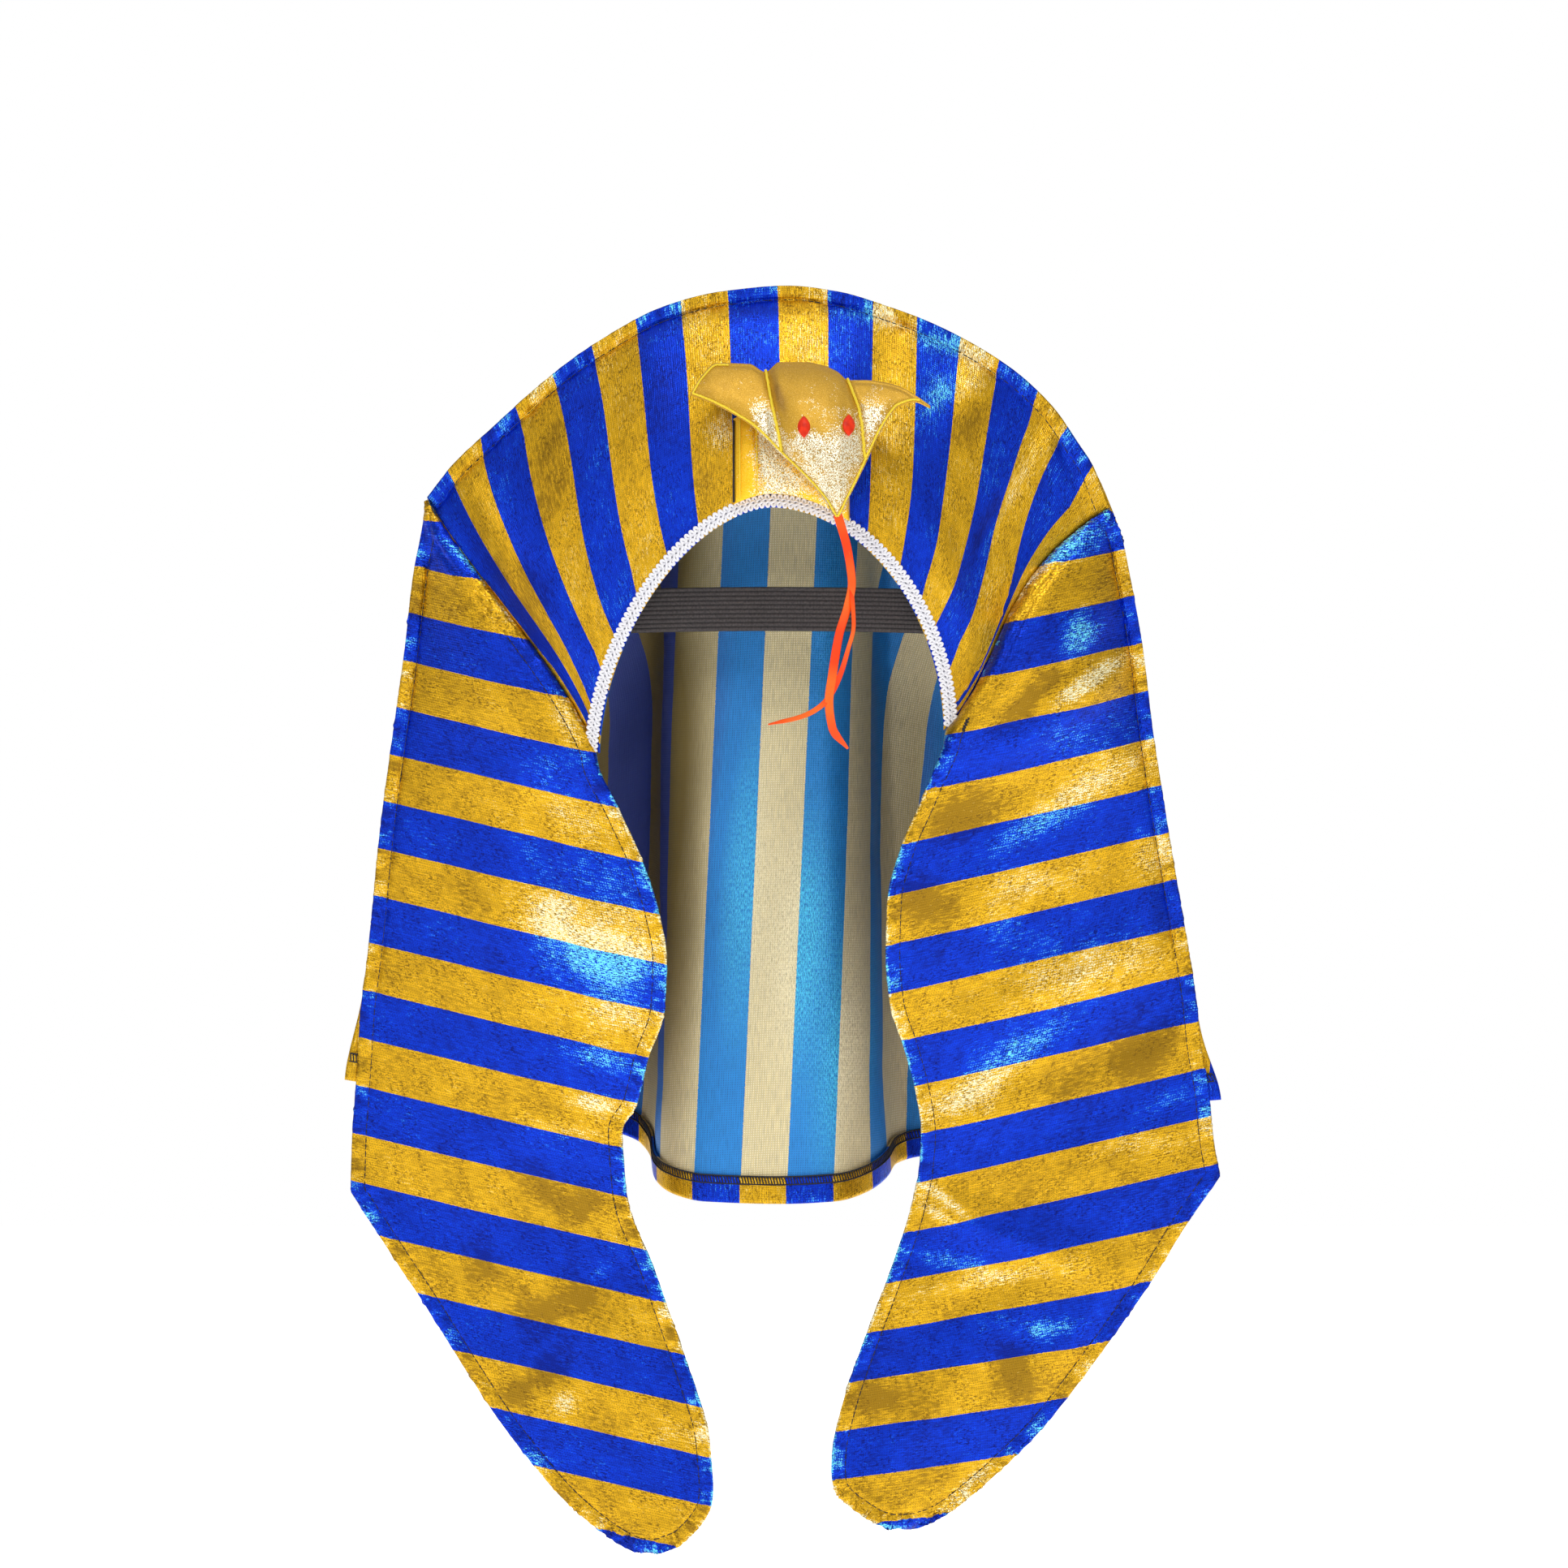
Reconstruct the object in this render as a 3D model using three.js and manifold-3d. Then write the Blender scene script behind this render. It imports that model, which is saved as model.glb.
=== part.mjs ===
// Striped cloth pharaoh headdress, as it hangs by the top seam of its crown.
// Millimetres, +Z up, front towards -Y, origin inside the top of the crown where a head carries it.

import * as THREE from 'three';
import Module from 'manifold-3d';

// Cloth, seams and clearance
const CLOTH = 1.2;
const LAPPET_WALL = 2.4;
const CLEARANCE = 0.3;
const SEAM_WIDTH = 6;

// Crown: the front panel between the top seam and the brow
const APEX_Z = 8;
const CROWN_WIDTH = 294;
const CROWN_SHIFT = -7.4;
const CROWN_RISE = 93;
const FOREHEAD = 96;
const BROW_WIDTH = 148;
const BROW_SHIFT = -6.1;
const BROW_DEPTH = 50;
const SEAM_DEPTH = 36;

// Back panel
const BACK_DROP = 396;
const HEM_RISE = 54;
const HEM_FOLD = 11.5;
const LOBE_DEPTH = 76;
const HEM_FLARE = 5;

// Brow braid and elastic
const BRAID_WIDTH = 8;
const BRAID_WALL = 2;
const BRAID_LIP = 1;
const BRAID_START = 0.035;
const ELASTIC_WIDTH = 19;
const ELASTIC_WALL = 1.3;
const ELASTIC_DROP = 141;
const ELASTIC_SPAN = 150;
const ELASTIC_BOW = 12;

// Cobra
const COBRA_WIDTH = 103;
const COBRA_HEIGHT = 67.5;
const COBRA_X = -40.9;
const COBRA_DROP = 33.5;
const COBRA_STAND = 14;
const COBRA_LEAN = 30;
const HEAD_PAD = 19;
const WING_PAD = 7;
const NECK_WIDTH = 50;
const NECK_HEIGHT = 38;
const NECK_X = -22.5;
const NECK_PAD = 9;
const EYE_WIDTH = 5.4;
const EYE_HEIGHT = 9.4;
const EYE_PAD = 1.8;

// Tongue: a forked satin ribbon
const TONGUE_LENGTH = 101;
const FORK_LENGTH = 92;
const RIBBON_WIDTH = 3.8;
const FORK_WIDTH = 2.4;
const RIBBON_WALL = 1;

// What differs between the two sides as the cloth hangs
const SIDES = {
  left: {
    sign: -1, length: 455, spread: 187.6, taper: 129, swell: 30.8,
    browFall: 105.5, browPower: 1.72, bowHigh: 1, bowLow: 4, crownRoll: 9, lappetRoll: 2,
    tipDepth: 6,
  },
  right: {
    sign: 1, length: 440, spread: 187.3, taper: 139.3, swell: 26.6,
    browFall: 95.7, browPower: 1.9, bowHigh: 12.2, bowLow: 4.9, crownRoll: 2, lappetRoll: 8,
    tipDepth: 9,
  },
};
const ROLL_REACH = 11;

// Top seam: at = share of half the crown's width, fall = share of CROWN_RISE below the apex
const ARCH_ROWS = [
  { at: -1, fall: 0.98 }, { at: -0.926, fall: 0.83 }, { at: -0.802, fall: 0.646 },
  { at: -0.673, fall: 0.462 }, { at: -0.518, fall: 0.277 }, { at: -0.3, fall: 0.0923 },
  { at: -0.134, fall: 0.026 }, { at: 0.057, fall: 0 }, { at: 0.2, fall: 0.026 },
  { at: 0.344, fall: 0.0923 }, { at: 0.496, fall: 0.185 }, { at: 0.7, fall: 0.369 },
  { at: 0.83, fall: 0.554 }, { at: 0.912, fall: 0.738 }, { at: 0.95, fall: 0.831 },
  { at: 1, fall: 1.027 },
];

// Lappet above its corner: level = share of its length, flare = share of the way from the crown's
// corner out to the lappet's own, reach = share of the swell of the inner edge past the brow's end
const UPPER_ROWS = {
  left: [
    { level: 0, flare: 0, reach: 0 }, { level: 0.04, flare: 0.1, reach: 0 },
    { level: 0.07, flare: 0.18, reach: 0 }, { level: 0.145, flare: 0.3, reach: 0 },
    { level: 0.243, flare: 0.487, reach: 0 }, { level: 0.298, flare: 0.589, reach: 0.352 },
    { level: 0.344, flare: 0.66, reach: 0.659 }, { level: 0.392, flare: 0.72, reach: 0.886 },
    { level: 0.437, flare: 0.785, reach: 1 }, { level: 0.486, flare: 0.868, reach: 0.966 },
    { level: 0.532, flare: 0.908, reach: 0.739 }, { level: 0.577, flare: 0.95, reach: 0.568 },
    { level: 0.6, flare: 0.975, reach: 0.375 }, { level: 0.658, flare: 1, reach: 0.43 },
  ],
  right: [
    { level: 0, flare: 0, reach: 0 }, { level: 0.03, flare: 0.115, reach: 0 },
    { level: 0.06, flare: 0.174, reach: 0 }, { level: 0.14, flare: 0.305, reach: 0 },
    { level: 0.216, flare: 0.39, reach: 0 }, { level: 0.28, flare: 0.48, reach: 0.38 },
    { level: 0.334, flare: 0.56, reach: 0.763 }, { level: 0.385, flare: 0.64, reach: 0.974 },
    { level: 0.439, flare: 0.725, reach: 1 }, { level: 0.486, flare: 0.79, reach: 0.934 },
    { level: 0.529, flare: 0.83, reach: 0.71 }, { level: 0.574, flare: 0.9, reach: 0.513 },
    { level: 0.614, flare: 0.935, reach: 0.42 }, { level: 0.656, flare: 1, reach: 0.474 },
  ],
};

// Lappet below its corner: inset = share of the taper, width = share of the width at the corner
const LOWER_ROWS = {
  left: [
    { level: 0.658, inset: 0, width: 1 }, { level: 0.683, inset: 0.057, width: 0.962 },
    { level: 0.722, inset: 0.147, width: 0.93 }, { level: 0.76, inset: 0.236, width: 0.886 },
    { level: 0.837, inset: 0.408, width: 0.803 }, { level: 0.875, inset: 0.497, width: 0.754 },
    { level: 0.914, inset: 0.603, width: 0.66 }, { level: 0.952, inset: 0.72, width: 0.537 },
    { level: 0.991, inset: 0.894, width: 0.246 }, { level: 1, inset: 0.96, width: 0.09 },
  ],
  right: [
    { level: 0.656, inset: 0, width: 1 }, { level: 0.705, inset: 0.108, width: 0.928 },
    { level: 0.757, inset: 0.209, width: 0.882 }, { level: 0.807, inset: 0.319, width: 0.829 },
    { level: 0.86, inset: 0.442, width: 0.762 }, { level: 0.908, inset: 0.565, width: 0.676 },
    { level: 0.94, inset: 0.668, width: 0.578 }, { level: 0.963, inset: 0.749, width: 0.481 },
    { level: 0.994, inset: 0.887, width: 0.211 }, { level: 1, inset: 0.955, width: 0.09 },
  ],
};

// Broad dents of the lappets: level and across are places, size is a share of the width, push of the wall
const DENTS = {
  left: [
    { level: 0.2, across: 0.6, size: 0.3, push: 1.2 },
    { level: 0.42, across: 0.75, size: 0.35, push: -1.8 },
    { level: 0.72, across: 0.5, size: 0.4, push: 1.2 },
  ],
  right: [
    { level: 0.16, across: 0.35, size: 0.3, push: -1.8 },
    { level: 0.3, across: 0.45, size: 0.35, push: 1.6 },
    { level: 0.44, across: 0.55, size: 0.35, push: -2 },
    { level: 0.58, across: 0.4, size: 0.3, push: 1.8 },
    { level: 0.78, across: 0.5, size: 0.35, push: -1.6 },
  ],
};

// Hem of the back panel from left to right: across = share of its width, back = share of LOBE_DEPTH,
// rise = share of HEM_RISE
const FLUTE_ROWS = [
  { across: 0, back: 0, rise: 1 }, { across: 0.016, back: 0.01, rise: 0.98 },
  { across: 0.055, back: 0.3, rise: 0.92 }, { across: 0.125, back: 0.66, rise: 0.83 },
  { across: 0.21, back: 0.92, rise: 0.72 }, { across: 0.29, back: 1, rise: 0.6 },
  { across: 0.338, back: 0.96, rise: 0.48 }, { across: 0.354, back: 0.78, rise: 0.34 },
  { across: 0.357, back: 0.58, rise: 0.2 }, { across: 0.37, back: 0.42, rise: 0.1 },
  { across: 0.41, back: 0.35, rise: 0.02 }, { across: 0.496, back: 0.33, rise: 0 },
  { across: 0.56, back: 0.36, rise: 0.02 }, { across: 0.597, back: 0.48, rise: 0.1 },
  { across: 0.616, back: 0.66, rise: 0.2 }, { across: 0.626, back: 0.86, rise: 0.3 },
  { across: 0.65, back: 0.97, rise: 0.36 }, { across: 0.72, back: 0.97, rise: 0.42 },
  { across: 0.8, back: 0.86, rise: 0.54 }, { across: 0.88, back: 0.62, rise: 0.68 },
  { across: 0.945, back: 0.3, rise: 0.78 }, { across: 0.984, back: 0.01, rise: 0.83 },
  { across: 1, back: 0, rise: 0.84 },
];

// Cobra outline from the left wing to the tail of the right one, as shares of its width and height
const COBRA_ROWS = [
  { at: 0, top: 0.2, bottom: 0.215, pad: 0.12 }, { at: 0.04, top: 0.1, bottom: 0.235, pad: 0.5 },
  { at: 0.11, top: 0.005, bottom: 0.28, pad: 0.9 }, { at: 0.245, top: 0.01, bottom: 0.4, pad: 1 },
  { at: 0.313, top: 0.062, bottom: 0.49, pad: 0.85 }, { at: 0.37, top: 0, bottom: 0.58, pad: 2.1 },
  { at: 0.483, top: 0, bottom: 0.745, pad: 2.7 }, { at: 0.56, top: 0.025, bottom: 0.88, pad: 2.5 },
  { at: 0.612, top: 0.06, bottom: 0.995, pad: 2.3 }, { at: 0.66, top: 0.115, bottom: 0.87, pad: 1.7 },
  { at: 0.725, top: 0.115, bottom: 0.67, pad: 0.9 }, { at: 0.81, top: 0.13, bottom: 0.4, pad: 0.9 },
  { at: 0.87, top: 0.155, bottom: 0.285, pad: 0.6 }, { at: 0.935, top: 0.21, bottom: 0.26, pad: 0.25 },
  { at: 1, top: 0.28, bottom: 0.3, pad: 0.12 },
];

const EYES = [
  { name: 'eye_left', at: 0.473, fall: 0.417 },
  { name: 'eye_right', at: 0.66, fall: 0.406 },
];

// Ways of the two ribbon strands below the snout: aside and drop as shares of their lengths
const STRAND_ROWS = [
  { aside: 0, drop: 0 }, { aside: 0.13, drop: 0.166 }, { aside: 0.177, drop: 0.3 },
  { aside: 0.13, drop: 0.39 }, { aside: 0.02, drop: 0.52 }, { aside: -0.06, drop: 0.69 },
  { aside: -0.1, drop: 0.8 }, { aside: -0.085, drop: 0.9 }, { aside: 0.03, drop: 1 },
];
const FORK_ROWS = [
  { aside: 0.13, drop: 0.18 }, { aside: 0.19, drop: 0.36 }, { aside: 0.22, drop: 0.52 },
  { aside: 0.14, drop: 0.64 }, { aside: 0.02, drop: 0.77 }, { aside: -0.16, drop: 0.88 },
  { aside: -0.45, drop: 0.945 }, { aside: -0.92, drop: 0.985 },
];

// Finish of each piece
const BLUE_GOLD = { color: 0x8a7a3a, roughness: 0.35, metalness: 0.6 };
const GOLD = { color: 0xd7a53c, roughness: 0.4, metalness: 0.7 };
const WHITE = { color: 0xe4e0e6, roughness: 0.6, metalness: 0.1 };
const CHARCOAL = { color: 0x3c3434, roughness: 0.85, metalness: 0 };
const RED = { color: 0xdc280a, roughness: 0.35, metalness: 0 };
const ORANGE = { color: 0xff4600, roughness: 0.45, metalness: 0 };

const clamp = (value, low, high) => Math.min(high, Math.max(low, value));
const lerp = (from, to, share) => from + (to - from) * share;
const smooth = (low, high, value) => {
  const share = clamp((value - low) / (high - low), 0, 1);
  return share * share * (3 - 2 * share);
};
const bell = (value) => Math.exp(-value * value);

// A curve through the rows of a table that never overshoots between two of them
function tableCurve(rows, place, column) {
  const places = rows.map((row) => (typeof place === 'string' ? row[place] : place(row)));
  const values = rows.map((row) => row[column]);
  const steps = places.slice(1).map((value, i) => value - places[i]);
  const slopes = steps.map((step, i) => (values[i + 1] - values[i]) / step);
  const tangents = values.map((_, i) => {
    if (i === 0) return slopes[0];
    if (i === slopes.length) return slopes[i - 1];
    if (slopes[i - 1] * slopes[i] <= 0) return 0;
    return 2 / (1 / slopes[i - 1] + 1 / slopes[i]);
  });
  return (at) => {
    const x = clamp(at, places[0], places[places.length - 1]);
    let i = 0;
    while (i < steps.length - 1 && x > places[i + 1]) i += 1;
    const t = (x - places[i]) / steps[i];
    const rest = 1 - t;
    return (
      rest * rest * (1 + 2 * t) * values[i] + t * rest * rest * steps[i] * tangents[i]
      + t * t * (3 - 2 * t) * values[i + 1] - t * t * rest * steps[i] * tangents[i + 1]
    );
  };
}

const even = (count, from = 0, to = 1) => (
  Array.from({ length: count + 1 }, (_, i) => lerp(from, to, i / count))
);

// Unit normal of a surface whose u runs to the right and v downwards: it points to the front
function normalAt(point, u, v) {
  const step = 0.002;
  const low = (value) => Math.max(0, value - step);
  const high = (value) => Math.min(1, value + step);
  const along = point(high(u), v).sub(point(low(u), v));
  const down = point(u, high(v)).sub(point(u, low(v)));
  return down.cross(along).normalize();
}

function closedMesh(positions, faces) {
  let volume = 0;
  const [a, b, c] = [0, 1, 2].map(() => new THREE.Vector3());
  for (const [i, j, k] of faces) {
    a.fromArray(positions, 3 * i);
    b.fromArray(positions, 3 * j);
    c.fromArray(positions, 3 * k);
    volume += a.dot(b.cross(c));
  }
  const turned = volume < 0 ? faces.map(([i, j, k]) => [i, k, j]) : faces;
  const geometry = new THREE.BufferGeometry();
  geometry.setAttribute('position', new THREE.Float32BufferAttribute(positions, 3));
  geometry.setIndex(turned.flat());
  return geometry;
}

// Closed solid between two offsets of one surface, measured along its normal
function shell(point, us, vs, front, back) {
  const positions = [];
  const at = (offset) => {
    for (const v of vs) {
      for (const u of us) {
        const place = point(u, v).addScaledVector(normalAt(point, u, v), offset(u, v));
        positions.push(place.x, place.y, place.z);
      }
    }
  };
  at(front);
  at(back);
  return closedMesh(positions, gridFaces(us.length, vs.length));
}

// Closed solid between a front and a back sheet of points
function slab(us, vs, frontPoint, backPoint) {
  const positions = [];
  for (const sheet of [frontPoint, backPoint]) {
    for (const v of vs) {
      for (const u of us) positions.push(...sheet(u, v).toArray());
    }
  }
  return closedMesh(positions, gridFaces(us.length, vs.length));
}

function gridFaces(wide, tall) {
  const faces = [];
  const layer = wide * tall;
  const quad = (a, b, c, d) => faces.push([a, b, c], [a, c, d]);
  for (let row = 0; row < tall - 1; row += 1) {
    for (let i = 0; i < wide - 1; i += 1) {
      const near = row * wide + i;
      quad(near, near + wide, near + wide + 1, near + 1);
      quad(layer + near, layer + near + 1, layer + near + wide + 1, layer + near + wide);
    }
  }
  for (let i = 0; i < wide - 1; i += 1) {
    const last = (tall - 1) * wide + i;
    quad(i, i + 1, layer + i + 1, layer + i);
    quad(last, layer + last, layer + last + 1, last + 1);
  }
  for (let row = 0; row < tall - 1; row += 1) {
    const left = row * wide;
    const right = left + wide - 1;
    quad(left, layer + left, layer + left + wide, left + wide);
    quad(right, right + wide, layer + right + wide, layer + right);
  }
  return faces;
}

// Outlines shared by the crown, the lappets and the back panel
const archFall = tableCurve(ARCH_ROWS, 'at', 'fall');
const FRONT_SEAM_Y = -(CLOTH + CLEARANCE) / 2;
const LAPPET_SEAM_Y = -(LAPPET_WALL + CLEARANCE) / 2;
const BACK_SEAM_Y = (CLOTH + CLEARANCE) / 2;
const BROW_TOP_Z = APEX_Z - FOREHEAD;

function archPoint(at) {
  return {
    x: CROWN_SHIFT + (at * CROWN_WIDTH) / 2,
    z: APEX_Z - CROWN_RISE * archFall(at),
  };
}

// Brow edge from -1 at its left end to 1 at its right end, a superellipse on each side
function browPoint(along) {
  const side = along < 0 ? SIDES.left : SIDES.right;
  const angle = (Math.abs(along) * Math.PI) / 2;
  const power = 2 / side.browPower;
  const aside = Math.pow(Math.sin(angle), power);
  const fall = 1 - Math.pow(Math.max(0, Math.cos(angle)), power);
  return {
    x: BROW_SHIFT + (side.sign * aside * BROW_WIDTH) / 2,
    z: BROW_TOP_Z - side.browFall * fall,
  };
}

// Curve that is nought at both ends and takes two given values a third and two thirds of the way
const twoBows = (share, high, low) => (
  13.5 * share * (share - 1) * (high * (share - 2 / 3) - low * (share - 1 / 3))
);

// Seam between the crown and a lappet, from the crown's corner down to the brow's end
function seamPoint(side, share) {
  const corner = archPoint(side.sign);
  const end = browPoint(side.sign);
  const bow = twoBows(share, side.bowHigh, side.bowLow);
  return {
    x: lerp(corner.x, end.x, share) - side.sign * bow,
    y: FRONT_SEAM_Y - SEAM_DEPTH * Math.sin((share * Math.PI) / 2),
    z: lerp(corner.z, end.z, share),
  };
}

// Quarter-round rise of soft cloth beside a seam
const roll = (distance) => {
  const share = clamp(distance / ROLL_REACH, 0, 1);
  return Math.sqrt(1 - (1 - share) * (1 - share));
};

function crownSurface(u, v) {
  const along = 2 * u - 1;
  const top = archPoint(along);
  const low = browPoint(along);
  const seams = [SIDES.left, SIDES.right].map((side) => ({ side, edge: seamPoint(side, v) }));
  let x = lerp(top.x, low.x, v);
  const z = lerp(top.z, low.z, v);
  for (const { side, edge } of seams) {
    const straight = lerp(archPoint(side.sign).x, browPoint(side.sign).x, v);
    const near = side.sign < 0 ? 1 - u : u;
    x += (edge.x - straight) * Math.pow(near, 5);
  }
  const flat = SEAM_WIDTH / Math.max(SEAM_WIDTH * 2, top.z - low.z);
  const bulge = Math.pow(Math.sin((clamp((v - flat) / (1 - flat), 0, 1) * Math.PI) / 2), 0.9);
  const middle = 1 - along * along;
  let y = FRONT_SEAM_Y;
  const rolls = lerp(SIDES.left.crownRoll, SIDES.right.crownRoll, u);
  y -= bulge * lerp(SEAM_DEPTH + rolls, BROW_DEPTH, middle);
  for (const { edge } of seams) {
    const rise = roll(Math.abs(x - edge.x) * 0.8);
    y = lerp(Math.max(y, edge.y), y, rise);
  }
  return new THREE.Vector3(x, y, z);
}

// Lappets
const lappetShape = Object.fromEntries(['left', 'right'].map((name) => {
  const upper = UPPER_ROWS[name];
  const lower = LOWER_ROWS[name];
  return [name, {
    cornerLevel: lower[0].level,
    flare: tableCurve(upper, 'level', 'flare'),
    reach: tableCurve(upper, 'level', 'reach'),
    inset: tableCurve(lower, 'level', 'inset'),
    width: tableCurve(lower, 'level', 'width'),
  }];
}));

function lappetEdges(name, level) {
  const side = SIDES[name];
  const shape = lappetShape[name];
  const corner = archPoint(side.sign);
  const end = browPoint(side.sign);
  const z = corner.z - side.length * level;
  const outerAbove = (at) => lerp(corner.x, side.sign * side.spread, shape.flare(at));
  const innerAbove = (at) => {
    const seamShare = (side.length * at) / (corner.z - end.z);
    const seam = seamPoint(side, Math.min(1, seamShare)).x;
    return seam - side.sign * side.swell * shape.reach(at);
  };
  if (level <= shape.cornerLevel) return { outer: outerAbove(level), inner: innerAbove(level), z };
  const widest = Math.abs(outerAbove(shape.cornerLevel) - innerAbove(shape.cornerLevel));
  const outer = side.sign * (side.spread - side.taper * shape.inset(level));
  return { outer, inner: outer - side.sign * widest * shape.width(level), z };
}

// The lappet's mid surface: across from 0 at the outer edge to 1 at the inner one
function lappetSurface(name) {
  const side = SIDES[name];
  const seamEnd = (archPoint(side.sign).z - browPoint(side.sign).z) / side.length;
  const clear = (LAPPET_WALL + CLOTH) / 2 + CLEARANCE * 2;
  return (across, level) => {
    const { outer, inner, z } = lappetEdges(name, level);
    const shown = inner + side.sign * clear;
    const x = lerp(outer, shown, across);
    const wide = Math.abs(outer - shown);
    const onSeam = 1 - smooth(seamEnd, seamEnd + 0.06, level);
    const seamY = seamPoint(side, Math.min(1, level / seamEnd)).y;
    const hang = lerp(Math.abs(seamY), side.tipDepth, smooth(seamEnd, 0.75, level));
    const free = hang + side.lappetRoll * onSeam * smooth(0, seamEnd * 0.4, level);
    const flat = Math.min(SEAM_WIDTH, wide * 0.2);
    const past = clamp((across * wide - flat) / (wide - flat), 0, 1);
    let y = LAPPET_SEAM_Y - free * Math.sin((past * Math.PI) / 2);
    const rise = lerp(1, roll((1 - across) * wide), onSeam);
    y = lerp(Math.max(y, seamY), y, rise);
    for (const dent of DENTS[name]) {
      const gap = Math.hypot((level - dent.level) * 3.4, across - dent.across) / dent.size;
      y += dent.push * LAPPET_WALL * 0.5 * bell(gap) * smooth(0, 0.15, past);
    }
    return new THREE.Vector3(x, y, z);
  };
}

// Back panel: u from the left seam to the right one, v from the top seam to the hem
const chordPlaces = FLUTE_ROWS.reduce((places, row, i) => {
  if (i === 0) return [0];
  const before = FLUTE_ROWS[i - 1];
  const hemWidth = SIDES.left.spread + SIDES.right.spread;
  const aside = (row.across - before.across) * hemWidth;
  const step = Math.hypot(aside, (row.back - before.back) * LOBE_DEPTH);
  return [...places, places[i - 1] + step];
}, []);
const CHORD = chordPlaces[chordPlaces.length - 1];
const chordOf = (row) => chordPlaces[FLUTE_ROWS.indexOf(row)] / CHORD;
const fluteAcross = tableCurve(FLUTE_ROWS, chordOf, 'across');
const fluteBack = tableCurve(FLUTE_ROWS, chordOf, 'back');
const hemRise = tableCurve(FLUTE_ROWS, chordOf, 'rise');

function backEdge(name, v) {
  const side = SIDES[name];
  const corner = archPoint(side.sign);
  const hemZ = APEX_Z - BACK_DROP + HEM_RISE * hemRise(side.sign < 0 ? 0 : 1);
  const z = lerp(corner.z, hemZ, v);
  const level = (corner.z - z) / side.length;
  const { outer } = lappetEdges(name, level);
  return outer + side.sign * HEM_FLARE * smooth(0.85, 1, v);
}

function backSurface(u, v) {
  const left = backEdge('left', v);
  const right = backEdge('right', v);
  const flutes = smooth(-0.05, 0.5, v);
  const place = lerp(u, fluteAcross(u), flutes);
  const x = lerp(left, right, place);
  const top = archPoint(2 * u - 1);
  const hemZ = APEX_Z - BACK_DROP + HEM_RISE * hemRise(u);
  const z = lerp(top.z, hemZ, v);
  const dome = 0.62 * Math.pow(1 - Math.pow(Math.abs(2 * u - 1), 2.4), 0.8);
  const below = top.z - z;
  const open = smooth(SEAM_WIDTH * 0.5, SEAM_WIDTH * 1.6, below);
  const depth = Math.pow(Math.sin((Math.min(1, v / 0.5) * Math.PI) / 2), 0.8) * open;
  const inEdge = smooth(0, 1, Math.min(x - left, right - x) / SEAM_WIDTH - 0.6);
  const y = BACK_SEAM_Y + LOBE_DEPTH * depth * lerp(dome, fluteBack(u), flutes) * inEdge;
  return new THREE.Vector3(x, y, z);
}

function crownFront() {
  const us = [0, 0.012, 0.03, 0.055, ...even(28, 0.09, 0.91), 0.945, 0.97, 0.988, 1];
  const vs = [0, 0.03, 0.07, 0.14, 0.24, 0.36, 0.5, 0.64, 0.78, 0.9, 1];
  return shell(crownSurface, us, vs, () => CLOTH / 2, () => -CLOTH / 2);
}

function lappet(name) {
  const corner = lappetShape[name].cornerLevel;
  const us = [0, 0.05, 0.16, 0.32, 0.5, 0.68, 0.82, 0.92, 0.97, 1];
  const levels = [
    0.012, 0.03, 0.055, 0.09, 0.13, 0.17, 0.21, 0.243, ...even(12, 0.28, corner), 0.7, 0.74, 0.78,
    0.82, 0.86, 0.9, 0.93, 0.955, 0.972, 0.983, 0.992, 1,
  ];
  return shell(lappetSurface(name), us, levels, () => LAPPET_WALL / 2, () => -LAPPET_WALL / 2);
}

function backPanel() {
  const us = even(42);
  const foldStart = 1 - HEM_FOLD / (BACK_DROP * 0.95);
  const vs = [0, 0.012, 0.03, 0.06, ...even(11, 0.1, 0.9), foldStart - 0.004, foldStart, 1];
  const turned = (v) => (v >= foldStart ? CLOTH * 1.5 : CLOTH / 2);
  return shell(backSurface, us, vs, (u, v) => turned(v), () => -CLOTH / 2);
}

// Braid: it lies on the front of the crown along the brow edge and reaches just past that edge
function browBraid() {
  const strip = (u, v) => {
    const edge = crownSurface(u, 1);
    const before = crownSurface(u - 0.01, 1);
    const tangent = crownSurface(u + 0.01, 1).sub(before);
    const rib = crownSurface(u, 0.9).sub(edge);
    const ribLength = rib.length() / 0.1;
    const slant = tangent.normalize().cross(rib.normalize()).length();
    const inside = ((BRAID_WIDTH - BRAID_LIP) / Math.max(slant, 0.4)) * (1 - v);
    const share = crownSurface(u, 1 - inside / ribLength);
    return share.addScaledVector(rib, -(BRAID_LIP / Math.max(slant, 0.4)) * v);
  };
  const near = CLOTH + CLEARANCE;
  const us = even(56, BRAID_START, 1 - BRAID_START);
  return shell(strip, us, even(2), () => near + BRAID_WALL, () => near);
}

// Depth of the crown's mid surface at a point of the front view
function crownDepth(x, z) {
  let u = 0.5;
  let v = 0.5;
  for (let turn = 0; turn < 40; turn += 1) {
    const place = crownSurface(u, v);
    u = clamp(u + ((x - place.x) / CROWN_WIDTH) * 0.9, 0, 1);
    v = clamp(v + ((place.z - z) / FOREHEAD) * 0.7, 0, 1);
  }
  return crownSurface(u, v).y;
}

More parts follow.
